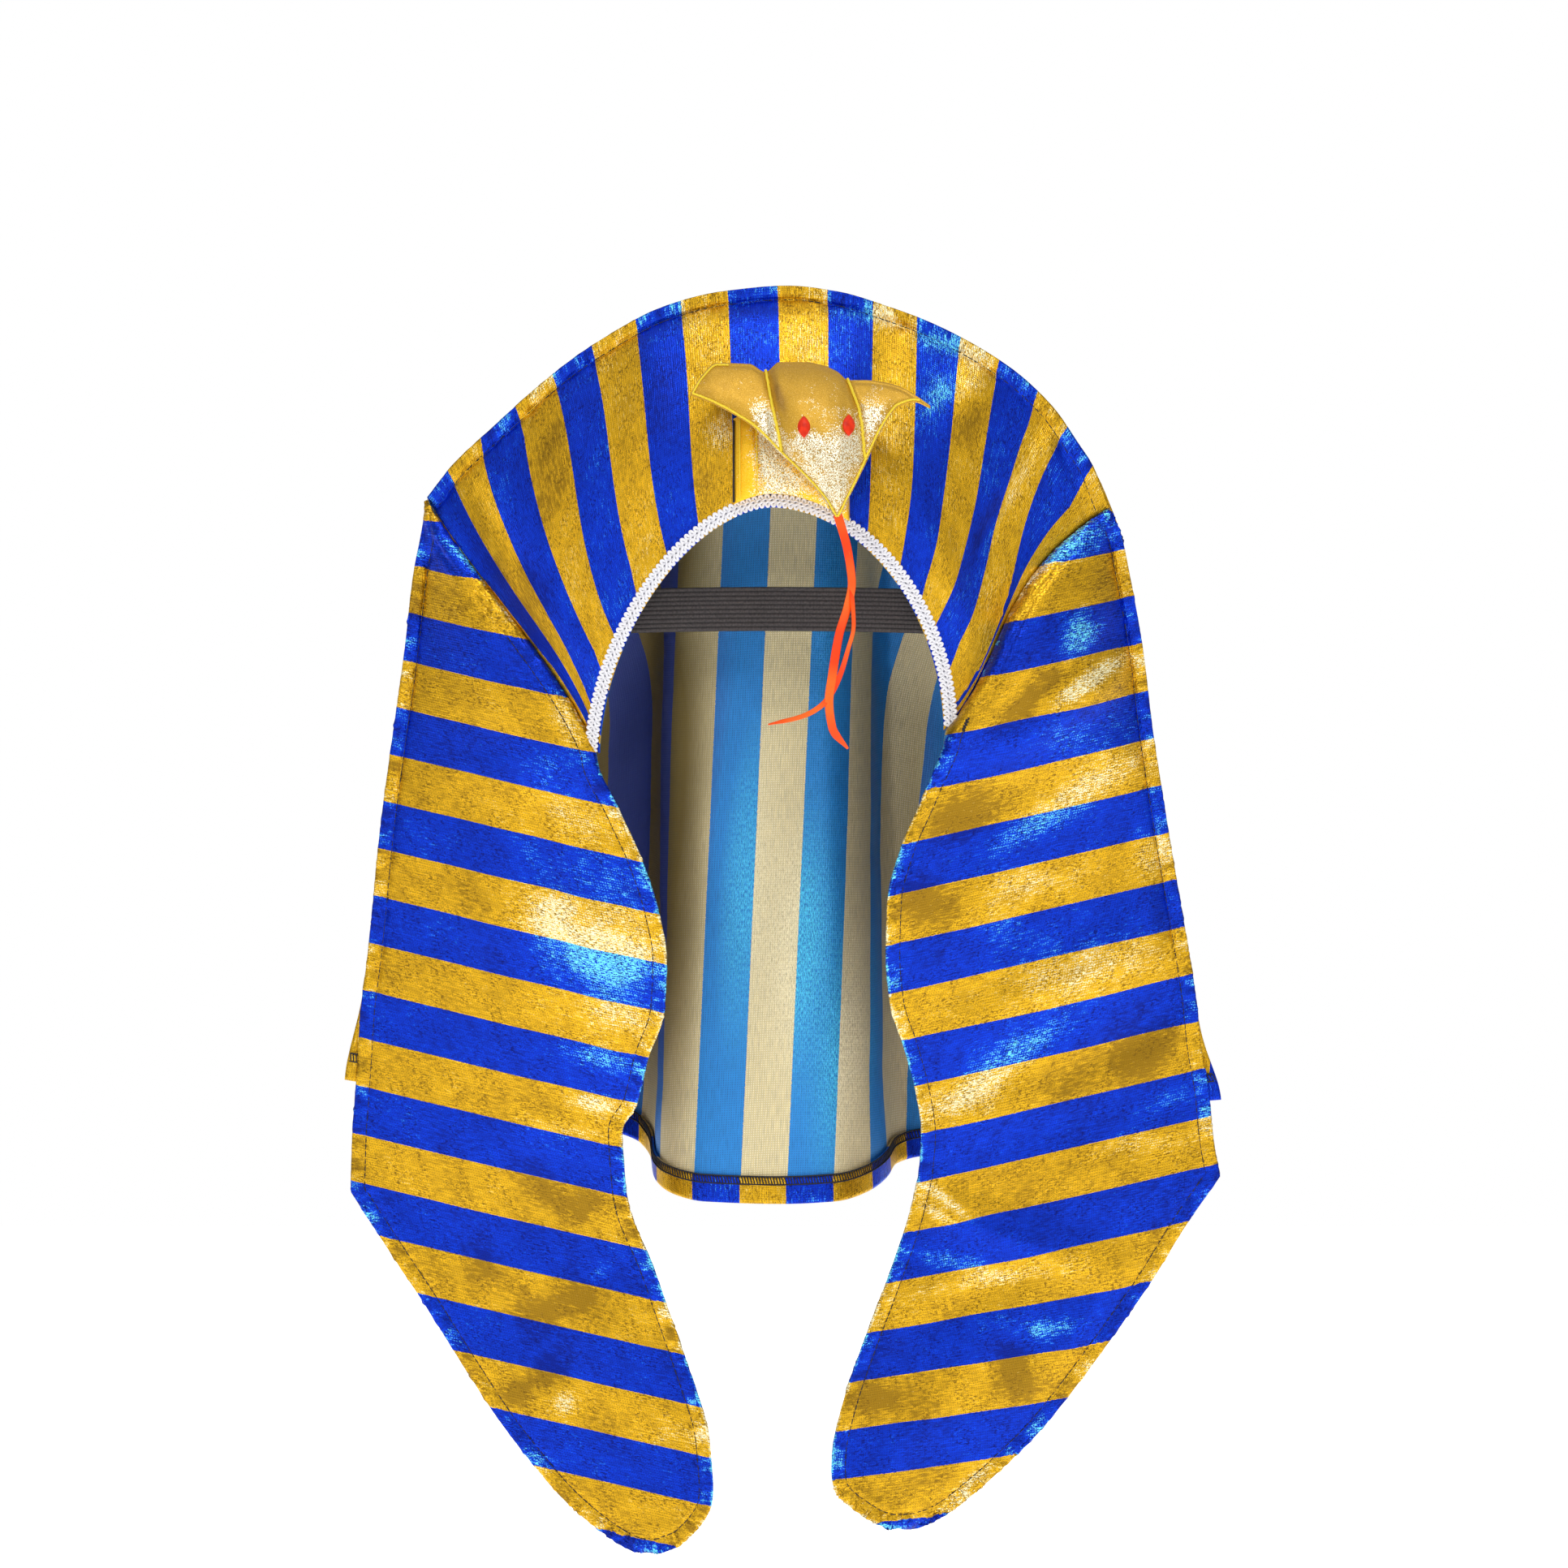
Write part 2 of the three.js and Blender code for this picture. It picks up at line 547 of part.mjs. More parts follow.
function elasticBand() {
  const middleX = BROW_SHIFT;
  const middleZ = APEX_Z - ELASTIC_DROP;
  const behind = CLOTH + CLEARANCE * 3;
  const frontSheet = (u, v) => {
    const x = middleX + (u - 0.5) * ELASTIC_SPAN;
    const z = middleZ + ELASTIC_WIDTH * (0.5 - v) + 1.5 * (1 - (2 * u - 1) ** 2);
    const seat = (atX) => crownDepth(atX, z) + behind;
    const ends = lerp(seat(middleX - ELASTIC_SPAN / 2), seat(middleX + ELASTIC_SPAN / 2), u);
    const own = ends + ELASTIC_BOW * Math.sin(u * Math.PI);
    const inCloth = Math.abs(2 * u - 1) > 0.8;
    return new THREE.Vector3(x, inCloth ? Math.max(own, seat(x)) : own, z);
  };
  const backSheet = (u, v) => frontSheet(u, v).add(new THREE.Vector3(0, ELASTIC_WALL, 0));
  return slab(even(24), even(3), frontSheet, backSheet);
}

// Cobra head: a padded kite with two wings, leaning out from the crown
const cobraTop = tableCurve(COBRA_ROWS, 'at', 'top');
const cobraBottom = tableCurve(COBRA_ROWS, 'at', 'bottom');
const cobraPad = tableCurve(COBRA_ROWS, 'at', 'pad');
const COBRA_TOP_Z = APEX_Z - COBRA_DROP;

function cobraMiddle(at, fall) {
  const x = COBRA_X + at * COBRA_WIDTH;
  const z = COBRA_TOP_Z - fall * COBRA_HEIGHT;
  const topSeat = crownSurface(0.53, 0.36).y;
  const lean = 1 - (1 - fall) * (1 - fall);
  const y = topSeat - COBRA_STAND - COBRA_LEAN * lean;
  return new THREE.Vector3(x, y, z);
}

function cobraThickness(at, across) {
  const wing = Math.min(1, cobraPad(at));
  const head = Math.max(0, cobraPad(at) - 1) / 1.7;
  const widest = WING_PAD * wing + (HEAD_PAD - WING_PAD) * head;
  const crown = Math.pow(Math.max(0, 4 * across * (1 - across)), 0.5);
  return 0.8 + (widest - 0.8) * crown;
}

function cobraSheet(side) {
  return (u, v) => {
    const fall = lerp(cobraTop(u), cobraBottom(u), v);
    const place = cobraMiddle(u, fall);
    place.y += side * cobraThickness(u, v) * (side < 0 ? 0.62 : 0.38);
    return place;
  };
}

function cobraHead() {
  const across = [0, 0.04, 0.12, 0.24, 0.38, 0.5, 0.62, 0.76, 0.88, 0.96, 1];
  return slab(even(36), across, cobraSheet(-1), cobraSheet(1));
}

// Depth of one face of the cobra's head at a point of the front view
function cobraDepth(x, z, side) {
  const at = clamp((x - COBRA_X) / COBRA_WIDTH, 0, 1);
  const fall = (COBRA_TOP_Z - z) / COBRA_HEIGHT;
  const across = clamp((fall - cobraTop(at)) / (cobraBottom(at) - cobraTop(at)), 0, 1);
  return cobraSheet(side)(at, across).y;
}

// Neck of the cobra: a padded column between the crown and the back of the head
function cobraBody() {
  const place = (u, v) => {
    const x = NECK_X + u * NECK_WIDTH;
    const brow = browFloor(x) + BRAID_WIDTH * 1.3;
    const z = lerp(brow + NECK_HEIGHT * 0.9, brow, v);
    return { x, z };
  };
  const backSheet = (u, v) => {
    const { x, z } = place(u, v);
    return new THREE.Vector3(x, crownDepth(x, z) - CLOTH * 0.75 - CLEARANCE, z);
  };
  const frontSheet = (u, v) => {
    const back = backSheet(u, v);
    const inset = lerp(0.05, 0.95, v);
    const round = Math.pow(Math.max(0, 4 * u * (1 - u)), 0.35) * Math.pow(4 * inset * (1 - inset), 0.3);
    const padded = back.y - 1 - NECK_PAD * round;
    const behindHead = cobraDepth(back.x, back.z, 1) + CLEARANCE * 3;
    back.y = Math.min(back.y - 1, Math.max(padded, behindHead));
    return back;
  };
  return slab(even(12), even(9), frontSheet, backSheet);
}

// Height of the brow edge above a place across the opening
function browFloor(x) {
  let low = -1;
  let high = 1;
  for (let turn = 0; turn < 30; turn += 1) {
    const middle = (low + high) / 2;
    if (browPoint(middle).x < x) low = middle;
    else high = middle;
  }
  return browPoint(low).z;
}

function eye({ at, fall }) {
  const centreX = COBRA_X + at * COBRA_WIDTH;
  const centreZ = COBRA_TOP_Z - fall * COBRA_HEIGHT;
  const place = (u, v) => {
    const share = 2 * v - 1;
    const half = 0.12 + 0.88 * (1 - share * share);
    return { x: centreX + (u - 0.5) * EYE_WIDTH * half, z: centreZ - (share * EYE_HEIGHT) / 2 };
  };
  const backSheet = (u, v) => {
    const { x, z } = place(u, v);
    return new THREE.Vector3(x, cobraDepth(x, z, -1) - CLEARANCE, z);
  };
  const frontSheet = (u, v) => {
    const back = backSheet(u, v);
    const domed = Math.max(0, 4 * u * (1 - u)) * Math.max(0, 4 * v * (1 - v));
    back.y -= 0.4 + EYE_PAD * Math.sqrt(domed);
    return back;
  };
  return slab(even(6), even(8), frontSheet, backSheet);
}

// Tongue: two ribbons that leave the snout together, joined into one solid
function strand(rows, length, width, start) {
  const points = rows.map((row) => new THREE.Vector3(
    start.x + row.aside * length * 0.35,
    start.y + row.drop * 6,
    start.z - row.drop * length,
  ));
  const curve = new THREE.CatmullRomCurve3(points, false, 'centripetal');
  const sheet = (side) => (u, v) => {
    const place = curve.getPoint(v);
    const tangent = curve.getTangent(v);
    const aside = new THREE.Vector3(-tangent.z, 0, tangent.x).normalize();
    const half = (width / 2) * (v > 0.93 ? lerp(1, 0.3, (v - 0.93) / 0.07) : 1);
    place.addScaledVector(aside, lerp(-half, half, u));
    place.y += (side * RIBBON_WALL) / 2;
    return place;
  };
  return slab([0, 1], even(22), sheet(-1), sheet(1));
}

async function tongue() {
  const wasm = await Module();
  wasm.setup();
  const toSolid = (geometry) => new wasm.Manifold(new wasm.Mesh({
    numProp: 3,
    vertProperties: geometry.attributes.position.array,
    triVerts: new Uint32Array(geometry.index.array),
  }));
  const snout = COBRA_ROWS.reduce((low, row) => (row.bottom > low.bottom ? row : low));
  const tip = cobraMiddle(snout.at, snout.bottom);
  const start = tip.clone().add(new THREE.Vector3(0, 0, -CLEARANCE));
  const main = strand(STRAND_ROWS, TONGUE_LENGTH, RIBBON_WIDTH, start);
  const fork = strand(FORK_ROWS, FORK_LENGTH, FORK_WIDTH, start);
  const joined = toSolid(main).add(toSolid(fork)).getMesh();
  const geometry = new THREE.BufferGeometry();
  const positions = [];
  for (let i = 0; i < joined.vertProperties.length; i += joined.numProp) {
    positions.push(...joined.vertProperties.slice(i, i + 3));
  }
  geometry.setAttribute('position', new THREE.Float32BufferAttribute(positions, 3));
  geometry.setIndex([...joined.triVerts]);
  return geometry;
}

const headdress = new THREE.Group();

function add(name, geometry, finish) {
  geometry.computeVertexNormals();
  const mesh = new THREE.Mesh(geometry, new THREE.MeshStandardMaterial(finish));
  mesh.name = name;
  headdress.add(mesh);
}

add('crown_front', crownFront(), BLUE_GOLD);
add('back_panel', backPanel(), BLUE_GOLD);
add('lappet_left', lappet('left'), BLUE_GOLD);
add('lappet_right', lappet('right'), BLUE_GOLD);
add('brow_braid', browBraid(), WHITE);
add('elastic_band', elasticBand(), CHARCOAL);
add('cobra_head', cobraHead(), GOLD);
add('cobra_body', cobraBody(), GOLD);
for (const row of EYES) add(row.name, eye(row), RED);
add('tongue', await tongue(), ORANGE);

export default headdress;
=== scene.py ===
"""Looks of a striped cloth pharaoh headdress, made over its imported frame.

Lengths are millimetres until a mesh is made. Front towards -Y, +Z up, left and right as seen from the front.
"""

import math
from types import SimpleNamespace

import bmesh
import bpy
import numpy as np
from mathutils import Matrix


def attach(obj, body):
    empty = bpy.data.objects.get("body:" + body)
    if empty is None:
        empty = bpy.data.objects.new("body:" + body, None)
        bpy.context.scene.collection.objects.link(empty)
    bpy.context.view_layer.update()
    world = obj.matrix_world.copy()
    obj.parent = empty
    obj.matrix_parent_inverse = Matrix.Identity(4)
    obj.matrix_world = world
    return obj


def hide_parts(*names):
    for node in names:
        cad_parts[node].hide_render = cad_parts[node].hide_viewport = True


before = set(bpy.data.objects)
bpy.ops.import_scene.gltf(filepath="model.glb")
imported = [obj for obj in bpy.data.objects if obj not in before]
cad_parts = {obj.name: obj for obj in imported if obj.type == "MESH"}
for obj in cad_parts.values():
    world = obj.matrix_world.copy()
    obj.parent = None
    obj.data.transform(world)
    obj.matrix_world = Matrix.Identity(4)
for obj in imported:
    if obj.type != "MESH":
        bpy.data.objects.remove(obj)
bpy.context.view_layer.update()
MM = 0.001

# Cloth, seams and clearance
CLOTH = 1.2
LAPPET_WALL = 2.4
LAPPET_RIM = 0.3
CLEARANCE = 0.3
SEAM_WIDTH = 6.0

# Crown
APEX_Z = 8.0
CROWN_WIDTH = 294.0
CROWN_SHIFT = -7.4
CROWN_RISE = 93.0
FOREHEAD = 96.0
BROW_WIDTH = 148.0
BROW_SHIFT = -6.1
BROW_DEPTH = 50.0
SEAM_DEPTH = 36.0

# Back panel
BACK_DROP = 396.0
HEM_RISE = 54.0
HEM_FOLD = 11.5
LOBE_DEPTH = 76.0
HEM_FLARE = 5.0

# Brow braid and elastic
BRAID_WIDTH = 8.0
BRAID_START = 0.006
BRAID_MIDDLE = 2.9
PICOT_LOW = (0.3, 1.9)
PICOT_HIGH = (5.5, 3.9)
CORD_RADIUS = 0.6
PICOT_STEPS = 14
ELASTIC_WIDTH = 19.0
ELASTIC_WALL = 1.3
ELASTIC_DROP = 141.0
ELASTIC_SPAN = 150.0
ELASTIC_BOW = 12.0
ELASTIC_RIBS = 10
PICOT_PITCH = 2.4
MIDDLE_CORD = 0.5
ZIGZAG_RADIUS = 0.26
BRAID_TAPE = (0.9, 2.2, 3.6, 5.0)

# Cobra and its ribbon tongue
COBRA_WIDTH = 103.0
COBRA_HEIGHT = 67.5
COBRA_X = -40.9
COBRA_DROP = 33.5
COBRA_STAND = 14.0
COBRA_LEAN = 30.0
HEAD_PAD = 19.0
WING_PAD = 7.0
NECK_WIDTH = 50.0
NECK_HEIGHT = 38.0
NECK_X = -22.5
NECK_PAD = 9.0
EYE_WIDTH = 5.4
EYE_HEIGHT = 9.4
EYE_PAD = 1.8
TONGUE_LENGTH = 101.0
FORK_LENGTH = 92.0
RIBBON_WIDTH = 3.8
FORK_WIDTH = 2.4

# Stripes of the cloth: their width, and on each lappet the upright pitch, the slope and one blue start
STRIPE = 20.2
LAPPET_STRIPES = {
    "left": SimpleNamespace(pitch=20.88, slope=-0.235, low_slope=-0.23, x=-149.8, z=-177.8),
    "right": SimpleNamespace(pitch=21.07, slope=0.227, low_slope=0.14, x=95.2, z=-180.3),
}

# On each side, the number before the seed darkens its whole lappet: an even painted shade, added to its
# shine mark
SIDES = {
    "left": SimpleNamespace(
        sign=-1, length=455, spread=187.6, taper=129, swell=30.8, brow_fall=105.5, brow_power=1.72,
        bow_high=1, bow_low=4, crown_roll=9, lappet_roll=2, tip_depth=6, stitch_top=-144, tone=-0.25,
        seed=60,
    ),
    "right": SimpleNamespace(
        sign=1, length=440, spread=187.3, taper=139.3, swell=26.6, brow_fall=95.7, brow_power=1.9,
        bow_high=12.2, bow_low=4.9, crown_roll=2, lappet_roll=8, tip_depth=9, stitch_top=-182, tone=-0.3,
        seed=80,
    ),
}

# Rolled seams, creases and the dark tack at the end of the brow
ROLL_REACH = 11.0
CREASE_HEIGHT = 1.5
SEAM_TUCK = 1.0
TACK_X = 78.4
TACK_LEAN = -2.2
TACK_TOP = -178.6
TACK_HEIGHT = 5.6

# Painted highlights along edges and folds, gain and spread of the painted glints, and how far the back panel
# shows its inner side
FOLD_SHINE = 1.8
RIM_SHINE = 1.1
GLINT_GAIN = 1.25
GLINT_SPREAD = 1.35
BACK_REACH = 168.0


def table(columns, *rows):
    names = columns.split()
    return [dict(zip(names, row)) for row in rows]


# Top seam: at = share of half the crown's width, fall = share of CROWN_RISE below the apex
ARCH_ROWS = table(
    "at fall",
    (-1, 0.98), (-0.926, 0.83), (-0.802, 0.646), (-0.673, 0.462), (-0.518, 0.277), (-0.3, 0.0923),
    (-0.134, 0.026), (0.057, 0), (0.2, 0.026), (0.344, 0.0923), (0.496, 0.185), (0.7, 0.369),
    (0.83, 0.554), (0.912, 0.738), (0.95, 0.831), (1, 1.027),
)

# Lappet above its corner: level = share of its length, flare = share of the way out to its corner,
# reach = share of the swell of the inner edge
UPPER_ROWS = {
    "left": table(
        "level flare reach",
        (0, 0, 0), (0.04, 0.1, 0), (0.07, 0.18, 0), (0.145, 0.3, 0), (0.243, 0.487, 0),
        (0.298, 0.589, 0.352), (0.344, 0.66, 0.659), (0.392, 0.72, 0.886), (0.437, 0.785, 1),
        (0.486, 0.868, 0.966), (0.532, 0.908, 0.739), (0.577, 0.95, 0.568), (0.6, 0.975, 0.375),
        (0.658, 1, 0.43),
    ),
    "right": table(
        "level flare reach",
        (0, 0, 0), (0.03, 0.115, 0), (0.06, 0.174, 0), (0.14, 0.305, 0), (0.216, 0.39, 0),
        (0.28, 0.48, 0.38), (0.334, 0.56, 0.763), (0.385, 0.64, 0.974), (0.439, 0.725, 1),
        (0.486, 0.79, 0.934), (0.529, 0.83, 0.71), (0.574, 0.9, 0.513), (0.614, 0.935, 0.42),
        (0.656, 1, 0.474),
    ),
}

# Lappet below its corner: inset = share of the taper, width = share of the width at the corner
LOWER_ROWS = {
    "left": table(
        "level inset width",
        (0.658, 0, 1), (0.683, 0.057, 0.962), (0.722, 0.147, 0.93), (0.76, 0.236, 0.886),
        (0.837, 0.408, 0.803), (0.875, 0.497, 0.754), (0.914, 0.603, 0.66), (0.952, 0.72, 0.537),
        (0.991, 0.894, 0.246), (1, 0.96, 0.09),
    ),
    "right": table(
        "level inset width",
        (0.656, 0, 1), (0.705, 0.108, 0.928), (0.757, 0.209, 0.882), (0.807, 0.319, 0.829),
        (0.86, 0.442, 0.762), (0.908, 0.565, 0.676), (0.94, 0.668, 0.578), (0.963, 0.749, 0.481),
        (0.994, 0.887, 0.211), (1, 0.955, 0.09),
    ),
}

# Broad dents of the lappets: level and across are places, size is a share of the width, push of the wall
DENTS = {
    "left": table(
        "level across size push",
        (0.2, 0.6, 0.3, 1.2), (0.42, 0.75, 0.35, -1.8), (0.72, 0.5, 0.4, 1.2),
    ),
    "right": table(
        "level across size push",
        (0.16, 0.35, 0.3, -1.8), (0.3, 0.45, 0.35, 1.6), (0.44, 0.55, 0.35, -2), (0.58, 0.4, 0.3, 1.8),
        (0.78, 0.5, 0.35, -1.6),
    ),
}

# Soft creases of the cloth in the front view: middle, half length and half width in mm, turn in degrees
# up from the horizontal, and how far the crease stands out
CREASES = {
    "lappet_left": table(
        "x z length width turn rise",
        (-84, -268, 34, 12, -78, 2.0), (-98, -250, 40, 9, -70, -1.2), (-120, -300, 60, 16, -84, 1.0),
        (-70, -330, 40, 9, -72, 1.3), (-132, -108, 26, 7, -38, 1.6), (-118, -172, 30, 12, -60, 0.8),
        (-110, -420, 60, 14, -58, 1.1), (-90, -460, 50, 12, -62, -0.9), (-140, -215, 40, 14, 80, -0.8),
    ),
    "lappet_right": table(
        "x z length width turn rise",
        (118, -104, 34, 7, 40, 2.2), (140, -150, 40, 12, 30, -1.6), (130, -166, 46, 8, 36, 2.4),
        (140, -205, 50, 10, 42, 2.6), (120, -222, 44, 9, 40, -1.8), (150, -268, 44, 12, 62, 2.0),
        (88, -250, 36, 12, 52, 1.6), (112, -296, 50, 10, 24, 2.2), (134, -326, 40, 9, 30, -1.8),
        (100, -345, 44, 9, 18, 1.8), (78, -394, 34, 7, -20, 2.0), (110, -408, 50, 10, -14, 1.8),
        (84, -428, 40, 8, 32, -1.4), (120, -452, 40, 12, 38, 1.4), (60, -480, 34, 9, 50, 1.2),
    ),
    "crown": table(
        "x z length width turn rise",
        (-112, -118, 44, 7, -57, 2.2), (-98, -142, 34, 6, -62, -1.4), (100, -86, 30, 5, 62, 1.8),
        (92, -96, 34, 6, 64, -2.2), (112, -62, 26, 8, 40, 1.3), (84, -30, 40, 9, 70, 1.0),
        (-60, -30, 40, 12, 80, 0.9), (-92, -60, 40, 12, -70, 0.8), (40, -34, 34, 9, 80, -0.9),
        (66, -110, 40, 8, -66, 1.1), (-10, -6, 50, 8, 4, 0.8),
    ),
    "back": table(
        "x z length width turn rise",
        (-30, -200, 90, 12, 86, 1.4), (18, -260, 100, 12, 85, 1.2), (-8, -320, 70, 14, 84, -1.2),
        (36, -170, 70, 10, 88, 1.2), (-120, -240, 90, 18, 82, 2.0), (120, -230, 90, 18, -82, 2.0),
        (-80, -90, 60, 16, 60, 2.2), (70, -90, 60, 16, -60, 2.2), (0, -60, 60, 14, 8, 1.6),
    ),
}

# Painted light of the cloth in the front view: middle, half length and half width in mm,
# turn in degrees, and shine: above nought a painted highlight, below nought painted shade
GLINTS = {
    "lappet_left": table(
        "x z length width turn shine",
        (-139, -109.5, 10, 1.4, -45, 1.3), (-124, -123.5, 8, 1.4, -38, 1.6), (-120, -134, 8, 4, -10, 0.7),
        (-96, -177, 10, 3, -65, 0.9), (-100, -197, 9, 5, -10, 0.6), (-86, -221, 18, 7, -12, 0.7),
        (-85, -243, 21, 8, -12, 0.55), (-99, -260, 6, 4, 0, 1.3), (-85, -264, 21, 8, -12, 0.8),
        (-86, -272.6, 17, 2.4, -13, 1.7), (-82, -281, 15, 6, -10, 1.4), (-69, -288, 10, 8, 0, 0.9),
        (-70, -307, 18, 8, -12, 0.9), (-80, -325, 14, 4, -15, 0.9), (-83, -344, 8, 3, -10, 1.5),
        (-92, -356, 14, 2.5, -12, 0.7), (-81, -418, 5, 2, 40, 0.7), (-94.5, -474, 4, 4, 0, 1.1),
        (-104, -499, 10, 3, -12, 0.6), (-44, -487, 10, 5, -12, 0.6), (-104, -383, 12, 5, -40, -0.8),
        (-86, -387, 5, 5, 0, -0.8), (-97, -431, 14, 5, 20, -0.8), (-130, -413, 5, 7, 0, -0.7),
        (-109, -465, 14, 5, 30, -0.8),
    ),
    "lappet_right": table(
        "x z length width turn shine",
        (128, -100, 12, 6, 40, 1.1), (108.5, -116.5, 10, 1.8, 40, 1.4), (125.6, -142.8, 9, 6, 75, 1.2),
        (133, -160, 12, 2.6, 33, 1.7), (123, -168, 9, 3, 20, 0.8), (131, -186, 21, 7, 12, 0.55),
        (132, -206, 28, 6, 24, 1.0), (102.5, -227, 18, 5, 20, 0.75), (107, -248.5, 21, 6, 10, 0.8),
        (157, -237, 9, 7, 60, 0.7), (97, -270, 18, 7, 0, 0.5), (127, -287, 31, 9, 15, 0.9),
        (99.5, -322, 16, 6, 30, 1.15), (77.7, -341.6, 17, 6, 20, 1.15), (166, -343, 10, 4, 20, 0.7),
        (158, -361, 21, 3.5, 8, 0.6), (70, -387, 10, 1.7, -40, 1.4), (65.5, -392, 6, 1.7, -30, 1.4),
        (70, -412, 14, 3, -12, 0.9), (88, -420, 24, 3.5, 10, 0.9), (94, -440, 14, 5, 0, 0.5),
        (113, -441, 9, 3, 10, 1.0), (79, -508, 9, 3, 40, 1.1), (78, -223, 12, 7, 10, -0.9),
        (61, -257, 10, 7, 0, -0.9), (104, -171, 14, 4, 40, -0.9), (153, -322, 10, 7, 60, -0.9),
        (120, -331, 10, 10, 0, -0.5), (99, -461, 10, 5, -70, -0.9), (41, -471, 9, 5, 0, -0.9),
    ),
    "crown": table(
        "x z length width turn shine",
        (64, -42, 10, 4, 60, 0.9), (79, -35, 8, 5, 60, 0.9), (79, -21, 9, 4, -30, 1.1),
        (64, -16.5, 9, 2.5, -25, 1.1), (30, -4, 9, 3, 0, 0.8), (-28, -56, 8, 5, 90, 1.1),
        (-36, -14, 12, 6, 90, 0.7), (9.5, -21, 12, 7, 90, 0.5), (43, -6, 6, 4, 0, 1.2),
        (93.5, -90, 18, 2.2, 65, 0.9), (-118, -125, 4, 2, -55, 0.7), (47, -50, 10, 6, 60, 0.6),
        (102, -71, 12, 5, 60, 0.55), (-52.5, -44, 14, 6, 80, -0.9), (-101.5, -62.6, 12, 6, 70, -0.8),
        (-101.5, -86, 10, 6, 70, -0.7), (-36, -73, 8, 5, 90, -0.8), (79, -50, 8, 6, 60, -0.9),
        (-114, -131, 26, 3, -57, -1.3), (-107, -125, 16, 5, -57, -0.9), (87, -94, 16, 3, 65, -1.0),
    ),
    "back": table(
        "x z length width turn shine",
        (6, -276, 34, 9, 86, 1.5), (25, -323, 34, 8, 84, 1.2), (-18, -250, 44, 8, 86, 1.0),
        (20, -140, 40, 8, 86, 0.3), (-64, -215, 75, 19, 84, -1.8), (-48, -306, 40, 8, 84, -0.5),
        (57, -219, 50, 8, 86, -0.5), (-50, -110, 20, 10, 60, -0.6), (50, -115, 14, 6, -60, -0.4),
    ),
    "cobra": table(
        "x z length width turn shine",
        (12, -64, 7, 4, -45, 1.2), (28, -64, 5, 4, 45, 1.2), (20.5, -76, 9, 4, 90, 1.5),
        (19, -68, 14, 11, 90, 0.5),
        (-9, -49, 5, 3, -40, 0.9), (37, -49, 6, 4, 60, 1.1), (-2.5, -41, 8, 1.6, -75, -1.0),
        (-7, -69, 11, 5, 90, 1.2), (2, -78, 6, 5, 0, 0.9), (-36, -40, 9, 2, 20, -0.3),
        (-6, -60, 6, 3, -45, 0.7),
    ),
}

# Hem of the back panel from left to right: across = share of its width, back = share of LOBE_DEPTH,
# rise = share of HEM_RISE
FLUTE_ROWS = table(
    "across back rise",
    (0, 0, 1), (0.016, 0.01, 0.98), (0.055, 0.3, 0.92), (0.125, 0.66, 0.83), (0.21, 0.92, 0.72),
    (0.29, 1, 0.6), (0.338, 0.96, 0.48), (0.354, 0.78, 0.34), (0.357, 0.58, 0.2), (0.37, 0.42, 0.1),
    (0.41, 0.35, 0.02), (0.496, 0.33, 0), (0.56, 0.36, 0.02), (0.597, 0.48, 0.1), (0.616, 0.66, 0.2),
    (0.626, 0.86, 0.3), (0.65, 0.97, 0.36), (0.72, 0.97, 0.42), (0.8, 0.86, 0.54), (0.88, 0.62, 0.68),
    (0.945, 0.3, 0.78), (0.984, 0.01, 0.83), (1, 0, 0.84),
)

# Every second stripe edge of the crown: at = place on the top seam, brow = place on the brow edge,
# high and low = how far it bows aside a third and two thirds of the way down
RIB_ROWS = table(
    "at brow high low",
    (-1, -1, 1.4, 5.25), (-0.8425, -0.938, -4.55, 0), (-0.633, -0.687, -1.05, -4.55),
    (-0.39, -0.43, -0.9, -2.6), (-0.1187, -0.162, 0, -0.35), (0.174, 0.232, 0, 0), (0.436, 0.528, 2.1, 2.8),
    (0.6765, 0.724, 3.5, 5.95), (0.8765, 0.96, -0.7, 6.65), (1, 1, -12.2, -4.9),
)

# Cobra outline from the left wing to the tail of the right one, as shares of its width and height
COBRA_ROWS = table(
    "at top bottom pad",
    (0, 0.2, 0.215, 0.12), (0.04, 0.1, 0.235, 0.5), (0.11, 0.005, 0.28, 0.9), (0.245, 0.01, 0.4, 1),
    (0.313, 0.062, 0.49, 0.85), (0.37, 0, 0.58, 2.1), (0.483, 0, 0.745, 2.7), (0.56, 0.025, 0.88, 2.5),
    (0.612, 0.06, 0.995, 2.3), (0.66, 0.115, 0.87, 1.7), (0.725, 0.115, 0.67, 0.9), (0.81, 0.13, 0.4, 0.9),
    (0.87, 0.155, 0.285, 0.6), (0.935, 0.21, 0.26, 0.25), (1, 0.28, 0.3, 0.12),
)
HEAD_SEAMS = [
    table("at fall", (0.315, 0.06), (0.345, 0.28), (0.375, 0.5), (0.383, 0.565)),
    table("at fall", (0.655, 0.115), (0.7, 0.3), (0.715, 0.42), (0.726, 0.62)),
]
EYES = table("node at fall", ("eye_left", 0.473, 0.417), ("eye_right", 0.66, 0.406))

# Ways of the two ribbon strands below the snout: aside and drop as shares of their lengths
STRAND_ROWS = table(
    "aside drop",
    (0, 0), (0.13, 0.166), (0.177, 0.3), (0.13, 0.39), (0.02, 0.52), (-0.06, 0.69), (-0.1, 0.8),
    (-0.06, 0.91), (0.13, 1),
)
FORK_ROWS = table(
    "aside drop",
    (0.13, 0.18), (0.19, 0.36), (0.22, 0.52), (0.14, 0.64), (0.02, 0.77), (-0.16, 0.88), (-0.45, 0.945),
    (-0.92, 0.985),
)


def lerp(start, end, share):
    return start + (end - start) * share


def smooth(low, high, value):
    share = np.clip((value - low) / (high - low), 0, 1)
    return share * share * (3 - 2 * share)


def bell(value):
    return np.exp(-value * value)


